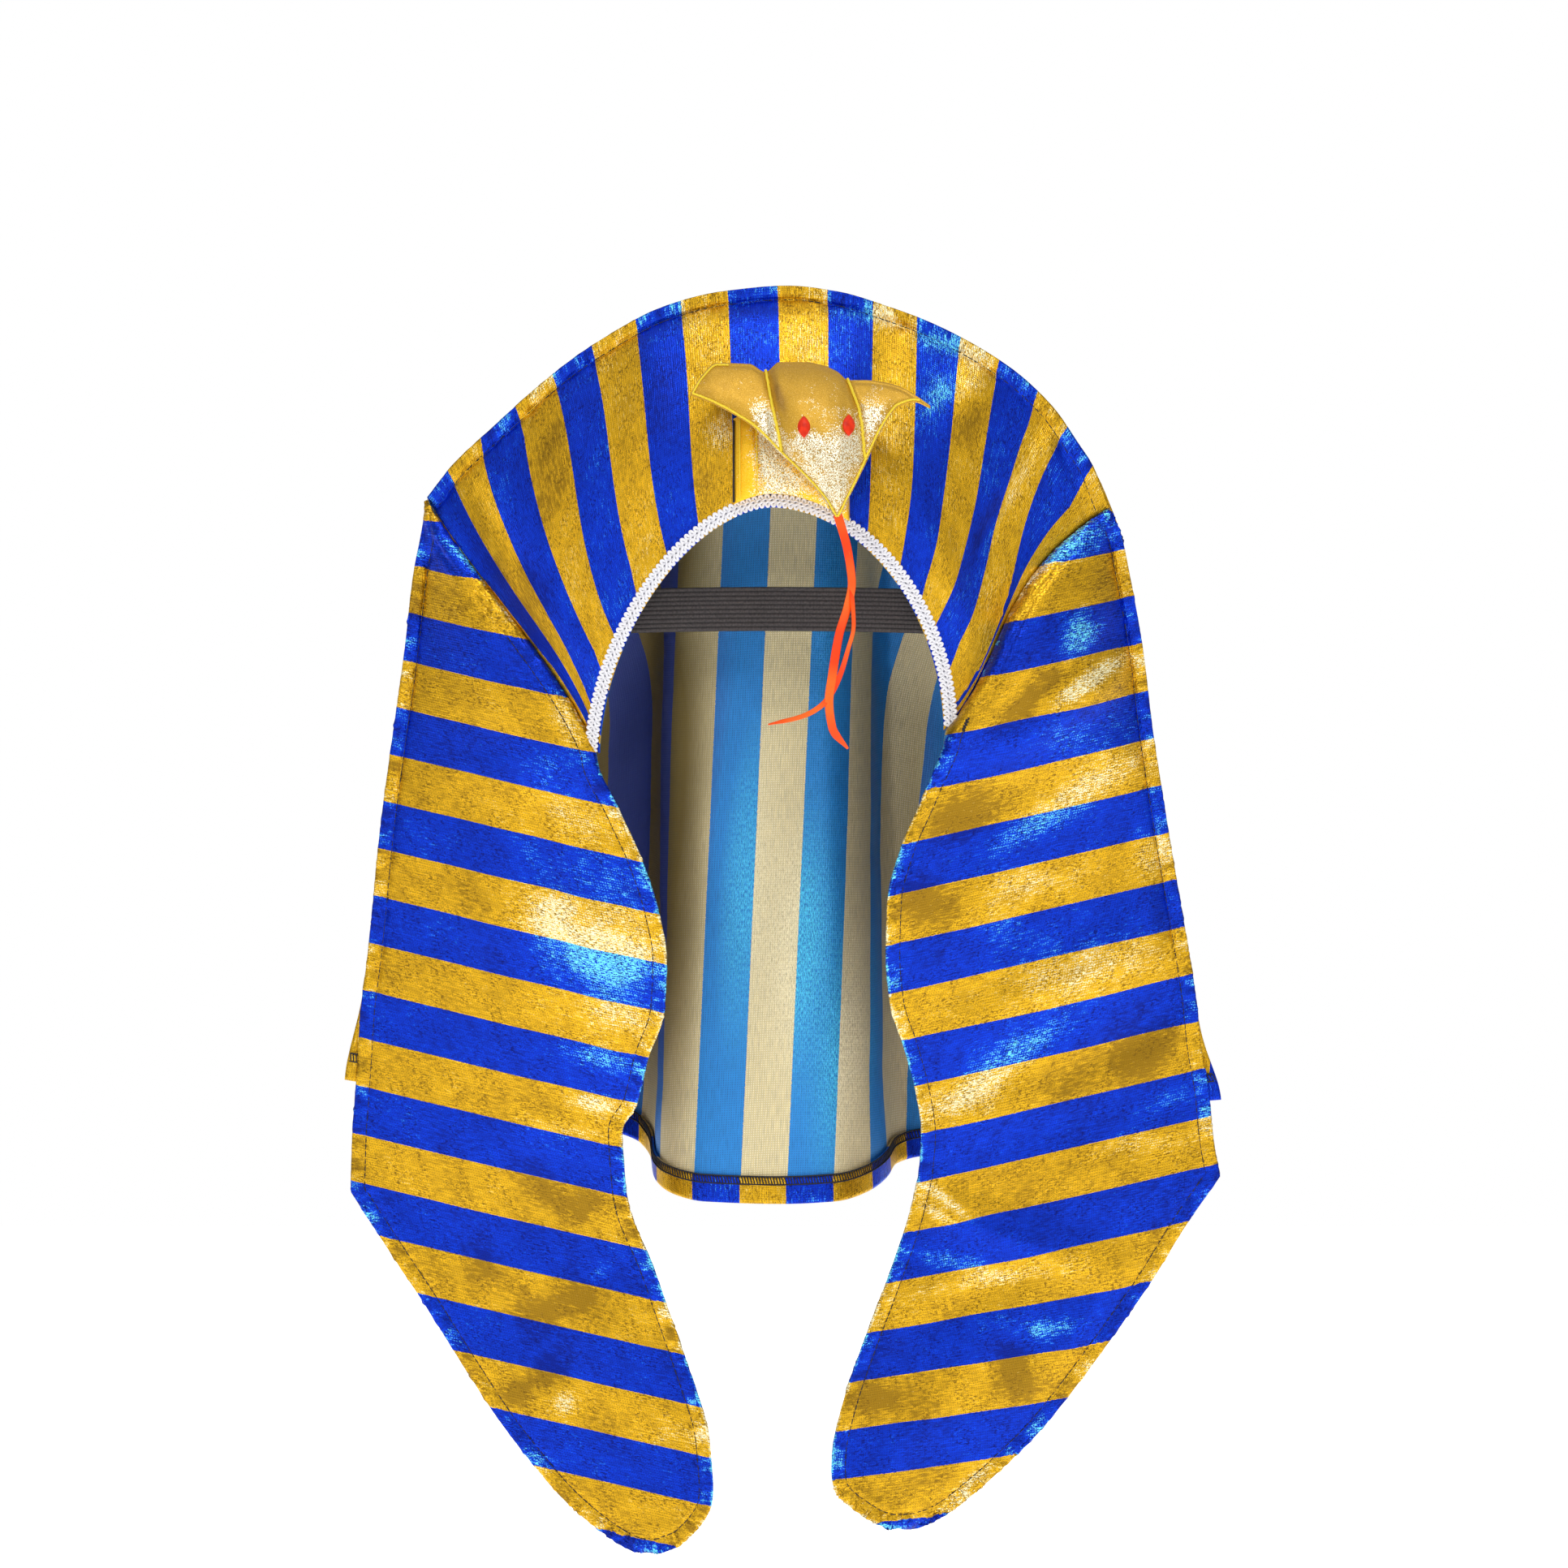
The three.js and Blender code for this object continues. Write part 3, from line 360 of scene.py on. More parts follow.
def table_curve(rows, place, column):
    """A curve through the rows of a table that never overshoots between two of them."""
    places = np.array([row[place] for row in rows], float)
    values = np.array([row[column] for row in rows], float)
    steps = np.diff(places)
    slopes = np.diff(values) / steps
    tangents = np.empty(len(values))
    tangents[0] = slopes[0]
    tangents[-1] = slopes[-1]
    for i in range(1, len(slopes)):
        same = slopes[i - 1] * slopes[i] > 0
        tangents[i] = 2 / (1 / slopes[i - 1] + 1 / slopes[i]) if same else 0

    def curve(at):
        x = np.clip(at, places[0], places[-1])
        i = np.clip(np.searchsorted(places, x, side="left") - 1, 0, len(steps) - 1)
        t = (x - places[i]) / steps[i]
        rest = 1 - t
        return (
            rest * rest * (1 + 2 * t) * values[i] + t * rest * rest * steps[i] * tangents[i]
            + t * t * (3 - 2 * t) * values[i + 1] - t * t * rest * steps[i] * tangents[i + 1]
        )

    return curve


def value_noise(seed, size=97):
    """Smooth seeded noise of two coordinates, from -1 to 1, with a step of one."""
    lattice = np.random.default_rng(seed).uniform(-1, 1, (size, size))

    def at(x, y):
        column = np.floor(x).astype(int)
        row = np.floor(y).astype(int)
        across = smooth(0, 1, x - column)
        down = smooth(0, 1, y - row)
        corner = [lattice[(row + j) % size, (column + i) % size] for j in (0, 1) for i in (0, 1)]
        return lerp(lerp(corner[0], corner[1], across), lerp(corner[2], corner[3], across), down)

    return at


def unit(vectors):
    return vectors / np.maximum(np.linalg.norm(vectors, axis=-1, keepdims=True), 1e-9)


def stack(x, y, z):
    return np.stack(np.broadcast_arrays(x, y, z), axis=-1).astype(float)


def interp_points(places, knots, points):
    """Points at places along a row of points with given knots."""
    return np.stack([np.interp(places, knots, column) for column in points.T], axis=1)


# Outlines shared by the crown, the lappets and the back panel
arch_fall = table_curve(ARCH_ROWS, "at", "fall")
FRONT_SEAM_Y = -(CLOTH + CLEARANCE) / 2
LAPPET_SEAM_Y = -(LAPPET_WALL + CLEARANCE) / 2
BACK_SEAM_Y = (CLOTH + CLEARANCE) / 2
BROW_TOP_Z = APEX_Z - FOREHEAD


def arch_point(at):
    return CROWN_SHIFT + at * CROWN_WIDTH / 2, APEX_Z - CROWN_RISE * arch_fall(at)


def brow_point(along):
    along = np.asarray(along, float)
    left = along < 0
    power = 2 / np.where(left, SIDES["left"].brow_power, SIDES["right"].brow_power)
    drop = np.where(left, SIDES["left"].brow_fall, SIDES["right"].brow_fall)
    angle = np.abs(along) * math.pi / 2
    aside = np.sin(angle) ** power
    fall = 1 - np.maximum(0, np.cos(angle)) ** power
    return BROW_SHIFT + np.where(left, -1, 1) * aside * BROW_WIDTH / 2, BROW_TOP_Z - drop * fall


def two_bows(share, high, low):
    """Nought at both ends, with two given values a third and two thirds of the way."""
    return 13.5 * share * (share - 1) * (high * (share - 2 / 3) - low * (share - 1 / 3))


def seam_point(side, share):
    corner_x, corner_z = arch_point(side.sign)
    end_x, end_z = brow_point(side.sign)
    x = lerp(corner_x, end_x, share) - side.sign * two_bows(share, side.bow_high, side.bow_low)
    y = FRONT_SEAM_Y - SEAM_DEPTH * np.sin(share * math.pi / 2)
    return x, y, lerp(corner_z, end_z, share)


def roll(distance):
    """Quarter-round rise of soft cloth beside a seam."""
    share = np.clip(distance / ROLL_REACH, 0, 1)
    return np.sqrt(1 - (1 - share) ** 2)


def crown_surface(u, v):
    along = 2 * u - 1
    top_x, top_z = arch_point(along)
    low_x, low_z = brow_point(along)
    x = lerp(top_x, low_x, v)
    z = lerp(top_z, low_z, v)
    edges = []
    for side in SIDES.values():
        edge_x, edge_y, _ = seam_point(side, v)
        edges.append((edge_x, edge_y))
        straight = lerp(arch_point(side.sign)[0], brow_point(side.sign)[0], v)
        near = np.clip(1 - u if side.sign < 0 else u, 0, None)
        x = x + (edge_x - straight) * near**5
    flat = SEAM_WIDTH / np.maximum(SEAM_WIDTH * 2, top_z - low_z)
    bulge = np.sin(np.clip((v - flat) / (1 - flat), 0, 1) * math.pi / 2) ** 0.9
    rolls = lerp(SIDES["left"].crown_roll, SIDES["right"].crown_roll, u)
    y = FRONT_SEAM_Y - bulge * lerp(SEAM_DEPTH + rolls, BROW_DEPTH, 1 - along * along)
    for edge_x, edge_y in edges:
        y = lerp(np.maximum(y, edge_y), y, roll(np.abs(x - edge_x) * 0.8))
    return stack(x, y, z)


def lappet_shape(name):
    upper = UPPER_ROWS[name]
    lower = LOWER_ROWS[name]
    return SimpleNamespace(
        corner=lower[0]["level"],
        flare=table_curve(upper, "level", "flare"),
        reach=table_curve(upper, "level", "reach"),
        inset=table_curve(lower, "level", "inset"),
        width=table_curve(lower, "level", "width"),
    )


LAPPET_SHAPES = {name: lappet_shape(name) for name in SIDES}


def lappet_edges(name, level):
    side = SIDES[name]
    shape = LAPPET_SHAPES[name]
    corner_x, corner_z = arch_point(side.sign)
    end_z = brow_point(side.sign)[1]

    def outer_above(at):
        return lerp(corner_x, side.sign * side.spread, shape.flare(at))

    def inner_above(at):
        seam_share = np.minimum(1, side.length * at / (corner_z - end_z))
        return seam_point(side, seam_share)[0] - side.sign * side.swell * shape.reach(at)

    widest = abs(outer_above(shape.corner) - inner_above(shape.corner))
    outer_below = side.sign * (side.spread - side.taper * shape.inset(level))
    above = level <= shape.corner
    outer = np.where(above, outer_above(level), outer_below)
    inner = np.where(above, inner_above(level), outer_below - side.sign * widest * shape.width(level))
    return outer, inner, corner_z - side.length * level


def lappet_surface(name, across, level):
    side = SIDES[name]
    seam_end = (arch_point(side.sign)[1] - brow_point(side.sign)[1]) / side.length
    clear = (LAPPET_WALL + CLOTH) / 2
    outer, inner, z = lappet_edges(name, level)
    shown = inner + side.sign * clear
    x = lerp(outer, shown, across)
    wide = np.abs(outer - shown)
    on_seam = 1 - smooth(seam_end, seam_end + 0.06, level)
    seam_y = seam_point(side, np.minimum(1, level / seam_end))[1]
    hang = lerp(np.abs(seam_y), side.tip_depth, smooth(seam_end, 0.75, level))
    free = hang + side.lappet_roll * on_seam * smooth(0, seam_end * 0.4, level)
    flat = np.minimum(SEAM_WIDTH, wide * 0.2)
    past = np.clip((across * wide - flat) / (wide - flat), 0, 1)
    y = LAPPET_SEAM_Y - free * np.sin(past * math.pi / 2)
    rise = lerp(1, roll((1 - across) * wide), on_seam)
    y = lerp(np.maximum(y, seam_y), y, rise)
    for dent in DENTS[name]:
        gap = np.hypot((level - dent["level"]) * 3.4, across - dent["across"]) / dent["size"]
        y = y + dent["push"] * LAPPET_WALL * 0.5 * bell(gap) * smooth(0, 0.15, past)
    return stack(x, y, z)


def chord_rows():
    """The flute rows with the place of each along the hem, measured round the flutes."""
    hem_width = SIDES["left"].spread + SIDES["right"].spread
    places = [0.0]
    for before, row in zip(FLUTE_ROWS, FLUTE_ROWS[1:]):
        aside = (row["across"] - before["across"]) * hem_width
        places.append(places[-1] + math.hypot(aside, (row["back"] - before["back"]) * LOBE_DEPTH))
    return [dict(row, chord=place / places[-1]) for row, place in zip(FLUTE_ROWS, places)]


CHORD_ROWS = chord_rows()
flute_across = table_curve(CHORD_ROWS, "chord", "across")
flute_back = table_curve(CHORD_ROWS, "chord", "back")
hem_rise = table_curve(CHORD_ROWS, "chord", "rise")


def back_edge(name, v):
    side = SIDES[name]
    corner_z = arch_point(side.sign)[1]
    hem_z = APEX_Z - BACK_DROP + HEM_RISE * hem_rise(0 if side.sign < 0 else 1)
    level = (corner_z - lerp(corner_z, hem_z, v)) / side.length
    return lappet_edges(name, level)[0] + side.sign * HEM_FLARE * smooth(0.85, 1, v)


def back_surface(u, v):
    left = back_edge("left", v)
    right = back_edge("right", v)
    flutes = smooth(-0.05, 0.5, v)
    x = lerp(left, right, lerp(u, flute_across(u), flutes))
    top_z = arch_point(2 * u - 1)[1]
    z = lerp(top_z, APEX_Z - BACK_DROP + HEM_RISE * hem_rise(u), v)
    dome = 0.62 * np.maximum(0, 1 - np.abs(2 * u - 1) ** 2.4) ** 0.8
    opened = smooth(SEAM_WIDTH * 0.5, SEAM_WIDTH * 1.6, top_z - z)
    depth = np.sin(np.minimum(1, v / 0.5) * math.pi / 2) ** 0.8 * opened
    in_edge = smooth(0, 1, np.minimum(x - left, right - x) / SEAM_WIDTH - 0.6)
    y = BACK_SEAM_Y + LOBE_DEPTH * depth * lerp(dome, flute_back(u), flutes) * in_edge
    return stack(x, y, z)


def arc_along(outline):
    steps = np.linalg.norm(np.diff(outline, axis=0), axis=1)
    return np.concatenate([[0], np.cumsum(steps)])


def grid_normals(points):
    """Unit normals of a grid whose rows run down and columns to the right: they point to the front."""
    down = np.gradient(points, axis=0)
    along = np.gradient(points, axis=1)
    return unit(np.cross(down, along))


def edge_distance(points, outline):
    """Distance in the front view from each point of a grid to an outline, and the nearest place along it."""
    flat = points[..., [0, 2]]
    arc = arc_along(outline)
    distance = np.empty(points.shape[:2])
    place = np.empty(points.shape[:2])
    for row, line in enumerate(flat):
        gaps = np.linalg.norm(line[:, None] - outline[None, :, [0, 2]], axis=2)
        distance[row] = gaps.min(axis=1)
        place[row] = arc[np.argmin(gaps, axis=1)]
    return distance, place


def spots(rows, column, x, z, spread=1.0):
    """Sum of soft oval spots in the front view, each with the height that its row holds."""
    total = np.zeros(np.broadcast(x, z).shape)
    for row in rows:
        turn = math.radians(row["turn"])
        along = (x - row["x"]) * math.cos(turn) + (z - row["z"]) * math.sin(turn)
        aside = (z - row["z"]) * math.cos(turn) - (x - row["x"]) * math.sin(turn)
        total += row[column] * bell(along / row["length"] / spread) * bell(aside / row["width"] / spread)
    return total


def creases(name, x, z):
    """Sum of the soft creases of one panel, in mm."""
    return CREASE_HEIGHT * spots(CREASES[name], "rise", x, z)


# Painted highlights (above nought) and painted shade (below nought) of one panel, from its GLINTS rows
def glints(name, x, z):
    return spots(GLINTS[name], "shine", x, z, GLINT_SPREAD)


def seam_shine(seed, along, distance, width=SEAM_WIDTH):
    """Painted highlights and painted shade in blobs on the rounded edge outside a row of stitches."""
    noise = value_noise(seed)
    blobs = 0.22 + 0.75 * noise(along / 5, distance / 9) + 0.8 * noise(along / 1.3 + 17, distance / 7)
    return blobs * (1 - smooth(0.75, 1.05, distance / width))


def crumple(seed, x, z, size, rise):
    """Uneven surface of soft cloth in three steps of size, in mm."""
    total = 0
    for i, share in enumerate((1, 0.45, 0.2)):
        noise = value_noise(seed + i)
        total = total + share * noise(x / size * 2**i + 11.3, z / size * 2**i + 5.7)
    return rise * total


def puckers(seed, along, distance, rise):
    """Small gathers across a sewn edge: they fade out a little past the seam."""
    noise = value_noise(seed)
    wave = noise(along / 3.4, distance / 9) + 0.5 * noise(along / 1.6 + 31, distance / 6)
    return rise * wave * (1 - smooth(SEAM_WIDTH * 0.7, SEAM_WIDTH * 1.9, distance))


def even_path(path, pitch):
    arc = arc_along(path)
    return interp_points(np.arange(pitch / 2, arc[-1], pitch), arc, path)


# Mesh building
def grid_faces(tall, wide):
    """Faces of a closed wall between two grids of points."""
    index = np.arange(tall * wide).reshape(tall, wide)
    layer = tall * wide
    near = np.stack([index[:-1, :-1], index[1:, :-1], index[1:, 1:], index[:-1, 1:]], -1).reshape(-1, 4)
    far = near[:, ::-1] + layer
    ring = np.concatenate([index[0, :-1], index[:-1, -1], index[-1, :0:-1], index[:0:-1, 0]])
    after = np.roll(ring, -1)
    rim = np.stack([ring, after, after + layer, ring + layer], -1)
    return np.concatenate([near, far, rim])


def in_scene(name, data):
    item = bpy.data.objects.new(name, data)
    bpy.context.scene.collection.objects.link(item)
    return item


def new_object(name, points, faces, material, slot, marks=None):
    """Smooth mesh that rides the part's one body: marks are numbers at its points, by name."""
    mesh = bpy.data.meshes.new(name)
    mesh.from_pydata((np.asarray(points) * MM).tolist(), [], [list(map(int, face)) for face in faces])
    for label, values in (marks or {}).items():
        layer = mesh.attributes.new(label, "FLOAT", "POINT")
        layer.data.foreach_set("value", np.asarray(values, np.float32).ravel())
    shape = bmesh.new()
    shape.from_mesh(mesh)
    bmesh.ops.recalc_face_normals(shape, faces=shape.faces)
    shape.to_mesh(mesh)
    shape.free()
    mesh.polygons.foreach_set("use_smooth", [True] * len(mesh.polygons))
    mesh.materials.append(material)
    item = in_scene(name, mesh)
    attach(item, "root")
    return item


def two_sided(name, near, far, material, slot, **marks):
    """Closed wall between two grids of points: each mark has a grid of numbers for either side."""
    points = np.concatenate([near.reshape(-1, 3), far.reshape(-1, 3)])
    values = {label: np.concatenate([a.ravel(), b.ravel()]) for label, (a, b) in marks.items()}
    return new_object(name, points, grid_faces(*near.shape[:2]), material, slot, values)


def cloth_wall(name, points, normals, half, **marks):
    """Wall of striped cloth with half its thickness on either side of a grid, and its near side."""
    lift = normals * half[..., None]
    near = points + lift
    return two_sided(name, near, points - lift, LAME, "striped_lame", **marks), near


def drape(path, points, normals, lift):
    """Puts a path of the front view on a grid of points, with the normal at each of its places."""
    flat = points.reshape(-1, 3)
    flat_normals = normals.reshape(-1, 3)
    placed = []
    found = []
    for x, z in path:
        i = np.argmin((flat[:, 0] - x) ** 2 + (flat[:, 2] - z) ** 2)
        normal = flat_normals[i]
        front = -max(0.2, abs(normal[1])) if normal[1] < 0 else max(0.2, normal[1])
        y = flat[i, 1] - (normal[0] * (x - flat[i, 0]) + normal[2] * (z - flat[i, 2])) / front
        placed.append(np.array([x, y, z]) + normal * lift)
        found.append(normal)
    return np.array(placed), np.array(found)


def inset_path(outline, inset, clear=0.93):
    """Path inside an outline of the front view, without the loops that sharp corners give."""
    flat = outline[:, [0, 2]]
    tangent = unit(np.gradient(flat, axis=0))
    kernel = np.ones(5) / 5
    tangent = unit(np.stack([np.convolve(np.pad(t, 2, "edge"), kernel, "valid") for t in tangent.T], 1))
    inward = np.stack([-tangent[:, 1], tangent[:, 0]], axis=1)
    middle = flat.mean(axis=0)
    if np.mean(np.sum(inward * (middle - flat), axis=1)) < 0:
        inward = -inward
    path = flat + inward * inset
    gaps = np.linalg.norm(path[:, None] - flat[None], axis=2).min(axis=1)
    return path[gaps > inset * clear]


def ring_faces(count, sides):
    """Faces of a closed tube of rings of points."""
    faces = []
    for start in range(0, (count - 1) * sides, sides):
        for i in range(sides):
            j = (i + 1) % sides
            faces.append((start + i, start + j, start + sides + j, start + sides + i))
    last = (count - 1) * sides
    return faces + [tuple(range(sides - 1, -1, -1)), tuple(range(last, last + sides))]


def stitch_mesh(name, places, normals, tangents, size, material, slot):
    """One small thread dash at each place, as a stretched six-sided bead."""
    length, width, height = size
    turn = np.arange(6) * math.pi / 3
    rings = [(-0.5, 0.35), (-0.3, 1), (0.3, 1), (0.5, 0.35)]
    template = [(a, b * math.cos(t) * 0.5, b * math.sin(t) * 0.5) for a, b in rings for t in turn]
    template = np.array(template) * np.array([length, width, height])
    side = unit(np.cross(normals, tangents))
    up = unit(np.cross(tangents, side))
    points = (
        places[:, None] + template[None, :, :1] * tangents[:, None] + template[None, :, 1:2] * side[:, None]
        + template[None, :, 2:] * up[:, None]
    ).reshape(-1, 3)
    one = ring_faces(len(rings), 6)
    count = len(template)
    faces = [tuple(i + k * count for i in face) for k in range(len(places)) for face in one]
    return new_object(name, points, faces, material, slot)


def sew(name, path, points, normals, pitch=3.1, length=2.8, width=0.45, lift=0.02,
        material=None, slot="striped_lame"):
    """A row of stitches along a path of the front view."""
    placed, found = drape(path, points, normals, lift)
    steps = even_path(placed, pitch)
    nearest = [np.argmin(np.sum((placed - step) ** 2, axis=1)) for step in steps]
    tangents = unit(np.gradient(steps, axis=0))
    size = (length, width, width)
    return stitch_mesh(name, steps, found[nearest], tangents, size, material or DARK_THREAD, slot)


def tube_mesh(path, radius, sides=6):
    """Points and faces of a closed tube along a path."""
    tangents = unit(np.gradient(path, axis=0))
    across = unit(np.cross(tangents, np.array([0.0, 1.0, 0.0]) + 1e-6))
    up = np.cross(across, tangents)
    turn = np.arange(sides) * 2 * math.pi / sides
    ring = across[:, None] * np.cos(turn)[None, :, None] + up[:, None] * np.sin(turn)[None, :, None]
    return (path[:, None] + ring * radius).reshape(-1, 3), ring_faces(len(path), sides)


def join_shapes(shapes):
    points = []
    faces = []
    for part_points, part_faces in shapes:
        start = sum(len(p) for p in points)
        points.append(np.asarray(part_points))
        faces += [tuple(i + start for i in face) for face in part_faces]
    return np.concatenate(points), faces


# Materials
class Nodes:
    """Short way to write the node tree of a material or of the world."""

    def __init__(self, block, shader="Principled BSDF"):
        block.use_nodes = True
        self.block = block
        self.tree = block.node_tree
        self.shader = self.tree.nodes[shader]

    def put(self, socket, value):
        if isinstance(value, bpy.types.NodeSocket):
            self.tree.links.new(value, socket)
        else:
            socket.default_value = value

    def add(self, kind, inputs=(), **settings):
        item = self.tree.nodes.new("ShaderNode" + kind)
        for key, value in settings.items():
            setattr(item, key, value)
        pairs = inputs.items() if isinstance(inputs, dict) else enumerate(inputs)
        for key, value in pairs:
            self.put(item.inputs[key], value)
        return item

    def math(self, operation, *values):
        return self.add("Math", values, operation=operation).outputs[0]

    def plus(self, first, second):
        return self.math("ADD", first, second)

    def less(self, first, second):
        return self.math("SUBTRACT", first, second)

    def times(self, first, second):
        return self.math("MULTIPLY", first, second)

    def above(self, first, second):
        return self.math("GREATER_THAN", first, second)

    def most(self, first, *others):
        for other in others:
            first = self.math("MAXIMUM", first, other)
        return first

    def total(self, base, *parts):
        """A number with shares of some sockets added."""
        for value, share in parts:
            base = self.plus(base, self.times(value, share))
        return base

    def vector(self, operation, inputs):
        return self.add("VectorMath", inputs, operation=operation).outputs[0]

    def mark(self, name):
        return self.add("Attribute", attribute_name=name).outputs["Fac"]

    def place(self):
        """Place on the object in mm."""
        return self.vector("SCALE", {0: self.add("TexCoord").outputs["Object"], "Scale": 1 / MM})

    def join(self, x, y, z=0.0):
        return self.add("CombineXYZ", (x, y, z)).outputs[0]

    def noise(self, vector, scale=1.0, detail=2.0, rough=0.5):
        inputs = {"Vector": vector, "Scale": scale, "Detail": detail, "Roughness": rough}
        return self.add("TexNoise", inputs).outputs[0]

    def cells(self, vector, scale):
        return self.add("TexVoronoi", {"Vector": vector, "Scale": scale})

    def step(self, value, low, high, start=0.0, end=1.0):
        return self.add("MapRange", (value, low, high, start, end)).outputs[0]

    def mix(self, share, first, second, blend="MIX"):
        inputs = {0: share, 6: first, 7: second}
        return self.add("Mix", inputs, data_type="RGBA", blend_type=blend).outputs[2]

    def sparkle(self, cell, strength, normal=None):
        """A normal that each cell of a pattern turns its own way."""
        base = normal or self.add("NewGeometry").outputs["Normal"]
        turned = self.vector("SUBTRACT", (cell.outputs["Color"], (0.5, 0.5, 0.5)))
        scaled = self.vector("SCALE", {0: turned, "Scale": strength})
        return self.vector("NORMALIZE", (self.vector("ADD", (base, scaled)),))

    def bump(self, height, strength, depth, normal=None):
        inputs = {"Height": height, "Strength": strength, "Distance": depth * MM}
        if normal is not None:
            inputs["Normal"] = normal
        return self.add("Bump", inputs).outputs[0]

    def surface(self, **sockets):
        for key, value in sockets.items():
            self.put(self.shader.inputs[key.replace("_", " ")], value)
        return self.block


def material_nodes(name):
    return Nodes(bpy.data.materials.new(name))


# Colours of the cloth, each for a blue and for a gold stripe: ground, dark flecks and painted shade, painted
# highlight, brightest painted highlight, then on the wrong side the thread, its binding points, painted deep
# shade and painted gleam
GROUND = ((0.0, 0.045, 0.70, 1), (0.90, 0.51, 0.012, 1))
FLECKS_AND_SHADE = ((0.0, 0.006, 0.16, 1), (0.19, 0.098, 0.005, 1))
PAINTED_GLINT = ((0.0, 0.20, 1.0, 1), (1.0, 0.72, 0.17, 1))
PAINTED_GLARE = ((0.16, 0.80, 1.0, 1), (1.0, 0.95, 0.60, 1))
WRONG = ((0.02, 0.27, 0.72, 1), (0.74, 0.62, 0.33, 1))
WRONG_PINS = ((0.02, 0.12, 0.38, 1), (1.0, 0.96, 0.74, 1))
WRONG_SHADE = ((0.06, 0.075, 0.36, 1), (0.24, 0.165, 0.035, 1))
WRONG_GLEAM = ((0.1, 0.72, 1.0, 1), (1.0, 0.90, 0.60, 1))
GREY_YARN = (0.45, 0.46, 0.52, 1)
WEAVE = 1.0


